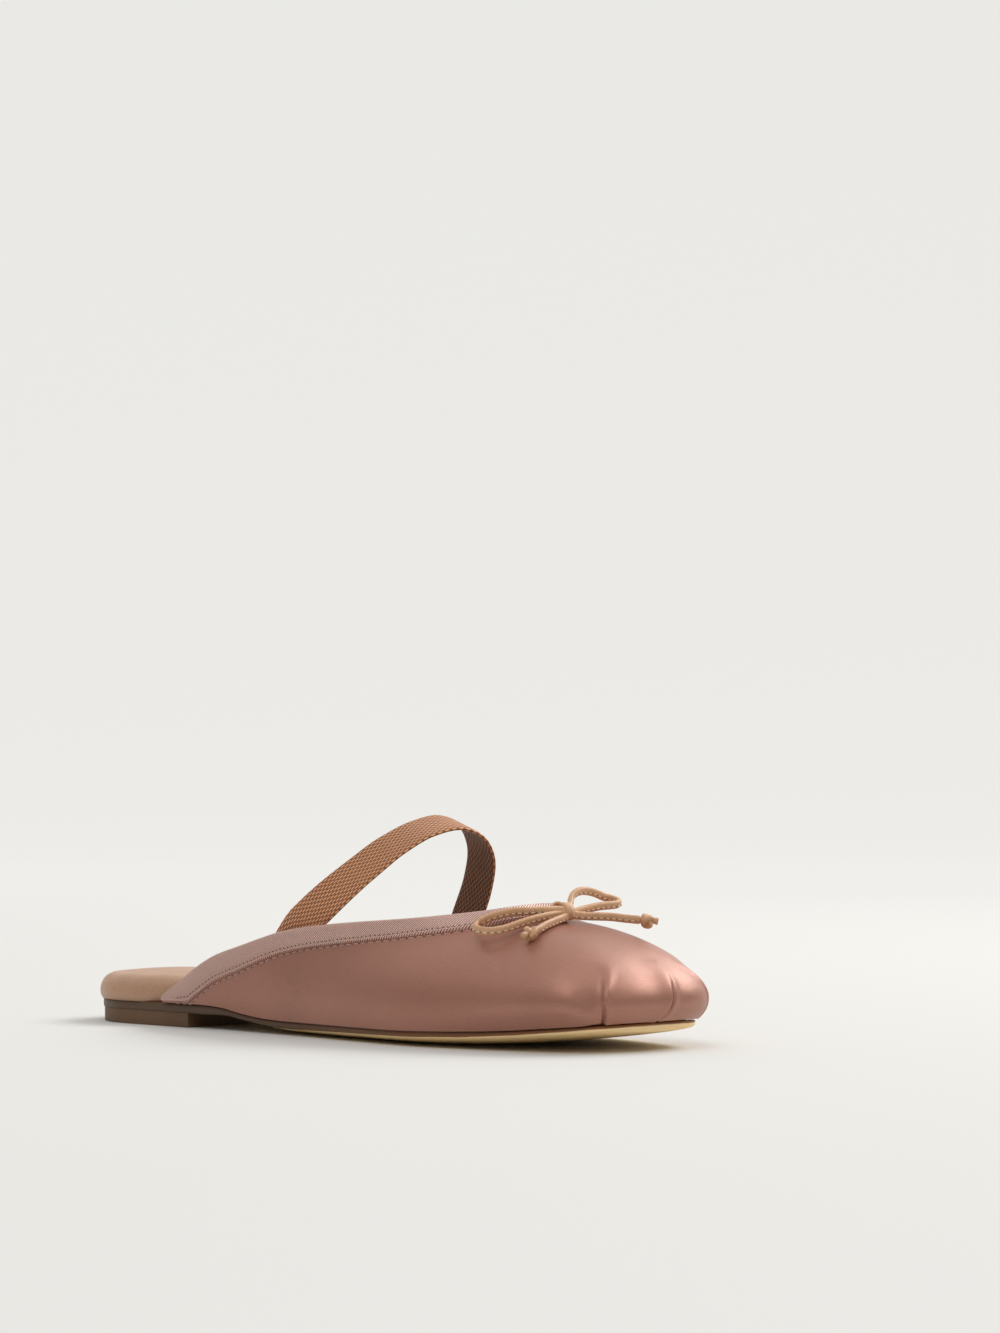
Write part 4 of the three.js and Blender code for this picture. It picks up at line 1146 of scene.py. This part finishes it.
# Reach of the sole's burnish: all of the edge at the heel, a thinner line towards the toe
BURNISH_TOP = 1.45
BURNISH_AT = [0, 70, 105, 150, 200, 240, 252]
BURNISH_EDGE = [12, 12, 4.0, 1.6, 1.2, 0.7, 0.6]
sole = plate(
    "outsole_leather",
    [
        (constant(-0.5), rim_bottom),
        (constant(-0.18), lambda x: rim_bottom(x) + 0.12),
        (constant(0.0), lambda x: rim_bottom(x) + 0.45),
        (constant(0.02), between(0.6)),
        (constant(0.0), lambda x: edge_height(x) - 0.3),
        (constant(-0.2), lambda x: edge_height(x) - 0.02),
        (constant(-1.4), edge_height),
    ],
    sole_bottom,
    lambda x, across: edge_height(x),
    SOLE_LEATHER,
    burnish=lambda x: BURNISH_TOP + np.interp(x, BURNISH_AT, BURNISH_EDGE),
)
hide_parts("outsole")

# Heel block: the outline drawn in a little, with a straight breast, up to the sole
HEEL_STATIONS = 90
HEEL_CROWDING = 0.8
HEEL_CORNER = math.radians(50)
heel_rows = []
for side in (OUTER, INNER):
    rear = SIDES[side][1][-1]
    front = outline_length(side, HEEL_BLOCK_LENGTH)
    s = np.linspace(0, 1, HEEL_STATIONS) ** HEEL_CROWDING
    length = np.minimum(front + (rear - front) * s, rear - SOLE_LENGTH / 300)
    p, out = outline_at(side, length)
    p = p - out * HEEL_BLOCK_INSET
    heel_rows.append((p, out) if side == OUTER else (p[::-1], out[::-1]))
ring = np.concatenate([heel_rows[0][0], heel_rows[1][0]])
out = np.concatenate([heel_rows[0][1], heel_rows[1][1]])
top_z = HEEL_SEAT - SOLE_EDGE_HEEL
levels = np.array([
    (-0.35, 0.0), (-0.1, 0.08), (0.0, 0.35), (0.03, 0.5 * top_z), (0.05, top_z - 0.2), (0.05, top_z + 0.15),
])
rings = np.array([np.column_stack([ring + out * o, np.full(len(ring), z)]) for o, z in levels])
heel = make_grid("heel_block", rings, running(ring)[None], levels[:, 1:], HEEL_LEATHER, "heel")
corners = heel.modifiers.new("corners", "EDGE_SPLIT")
corners.split_angle = HEEL_CORNER
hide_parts("heel")

# Footbed
FOOTBED_LIFT = 0.05


def footbed_out(x):
    start = QUARTER_START - FOOTBED_STEP
    s = np.clip((x - start) / (FOOTBED_STEP - GAP), 0, 1)
    eased = s * s * (3 - 2 * s)
    return FOOTBED_OVERHANG * (1 - eased) - FOOTBED_INSET * eased


def footbed_thick(x):
    return read(FOOTBED, "thick", x / SOLE_LENGTH)


RIM = np.array([(0.25, 0), (0.04, 0.16), (0, 0.36), (0.16, 0.6), (0.55, 0.81), (1.2, 0.95), (2.1, 1.0)])
rim_path = smooth_path(np.column_stack([RIM * 10, np.zeros(len(RIM))]), 1.0)[:, :2] / 10


def footbed_base(x, across=0):
    return edge_height(x) + FOOTBED_LIFT


def footbed_top(x, across):
    ends = max(1 - x / HEEL_CAP, 0) ** 2 + max(1 - (SOLE_LENGTH - x) / TOE_CAP, 0) ** 2
    crown = FOOTBED_CROWN * (footbed_thick(x) / FOOTBED_HEEL) * (1 - across**2) * (1 - ends)
    return footbed_base(x) + footbed_thick(x) + crown


rim_levels = [
    (
        lambda x, i=inset: footbed_out(x) - i * FOOTBED_RIM * footbed_thick(x) / FOOTBED_HEEL,
        lambda x, s=lift: footbed_base(x) + s * footbed_thick(x),
    )
    for inset, lift in rim_path
]
footbed = plate("footbed_pad", rim_levels, footbed_base, footbed_top, FOOTBED_LEATHER)
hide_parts("insole")

# Floor and backdrop in one sweep, in metres
PAPER = (0.72, 0.717, 0.7)
PAPER_FAR = (0.02, 0.02, 0.02)
PAPER_GLOW = (0.806, 0.799, 0.768)
SKY = [(0.0, 0.13), (0.3, 0.29), (0.7, 0.66), (1.0, 0.88)]
KEY_POWER = 60.0
FRONT_POWER = 17.0
LAMP_COLOUR = (1.0, 0.99, 0.975)
SWEEP_FRONT = -3.0
SWEEP_BACK = 2.2
SWEEP_BEND = 1.5
SWEEP_TOP = 6.0
SWEEP_HALF = 6.0
bend = np.linspace(0, math.pi / 2, 40)[1:]
sweep_y = [SWEEP_FRONT, SWEEP_BACK, *(SWEEP_BACK + SWEEP_BEND * np.sin(bend)), SWEEP_BACK + SWEEP_BEND]
sweep_z = [0.0, 0.0, *(SWEEP_BEND - SWEEP_BEND * np.cos(bend)), SWEEP_TOP]
mesh = bpy.data.meshes.new("studio_sweep")
verts = []
cos_y, sin_y = math.cos(YAW), math.sin(YAW)
for y, z in zip(sweep_y, sweep_z):
    for x in (-SWEEP_HALF, SWEEP_HALF):
        verts.append((x * cos_y - y * sin_y, x * sin_y + y * cos_y, z))
mesh.from_pydata(verts, [], [(2 * i, 2 * i + 1, 2 * i + 3, 2 * i + 2) for i in range(len(sweep_y) - 1)])
mesh.shade_smooth()
sweep = add_object("studio_sweep", mesh)
paper = Look("paper")
paper.put(Roughness=0.85, Specular_IOR_Level=0.1)
spot = paper.node("ShaderNodeSeparateXYZ", {0: paper.place()})
squares = [paper.math("POWER", spot.outputs[k], 2.0) for k in (0, 1)]
away = paper.math("SQRT", paper.math("ADD", *squares))
glow = paper.ramp(paper.times(away, 0.4), (0.18, (0.0, 0.0, 0.0)), (0.6, (1.0, 1.0, 1.0)))
paper.to("Base Color", paper.mix(glow, PAPER, PAPER_FAR))
paper.put(Emission_Color=(*PAPER_GLOW, 1))
paper.to("Emission Strength", glow)
mesh.materials.append(paper.mat)

# Light: a broad soft source behind on the right, a weaker one in front and a dim surround
world = bpy.data.worlds.new("studio")
bpy.context.scene.world = world
world.use_nodes = True
sky = world.node_tree
way_up = sky.nodes.new("ShaderNodeSeparateXYZ")
sky.links.new(sky.nodes.new("ShaderNodeTexCoord").outputs["Generated"], way_up.inputs[0])
ramp = sky.nodes.new("ShaderNodeValToRGB")
sky.links.new(way_up.outputs[2], ramp.inputs[0])
fill_ramp(ramp, [(at, (level, level * 0.985, level * 0.965)) for at, level in SKY])
sky.links.new(ramp.outputs[0], sky.nodes["Background"].inputs[0])
bpy.context.scene.view_settings.view_transform = "Standard"


# A softbox by its way from the shoe: degrees round from the camera's side to the right, and up
def softbox(name, round_by, up_by, distance, size, energy):
    data = bpy.data.lights.new(name, "AREA")
    data.shape = "RECTANGLE"
    data.size, data.size_y = size
    data.energy = energy
    data.color = LAMP_COLOUR
    lamp = add_object(name, data)
    turn = YAW - math.pi / 2 + math.radians(round_by)
    rise = math.radians(up_by)
    lamp.location = [
        distance * math.cos(rise) * math.cos(turn),
        distance * math.cos(rise) * math.sin(turn),
        distance * math.sin(rise),
    ]
    lamp.rotation_euler = (math.pi / 2 - rise, 0, turn + math.pi / 2)


softbox("key", 120, 41, 3.0, (2.5, 1.4), KEY_POWER)
softbox("front", -20, 55, 3.2, (2.0, 2.0), FRONT_POWER)
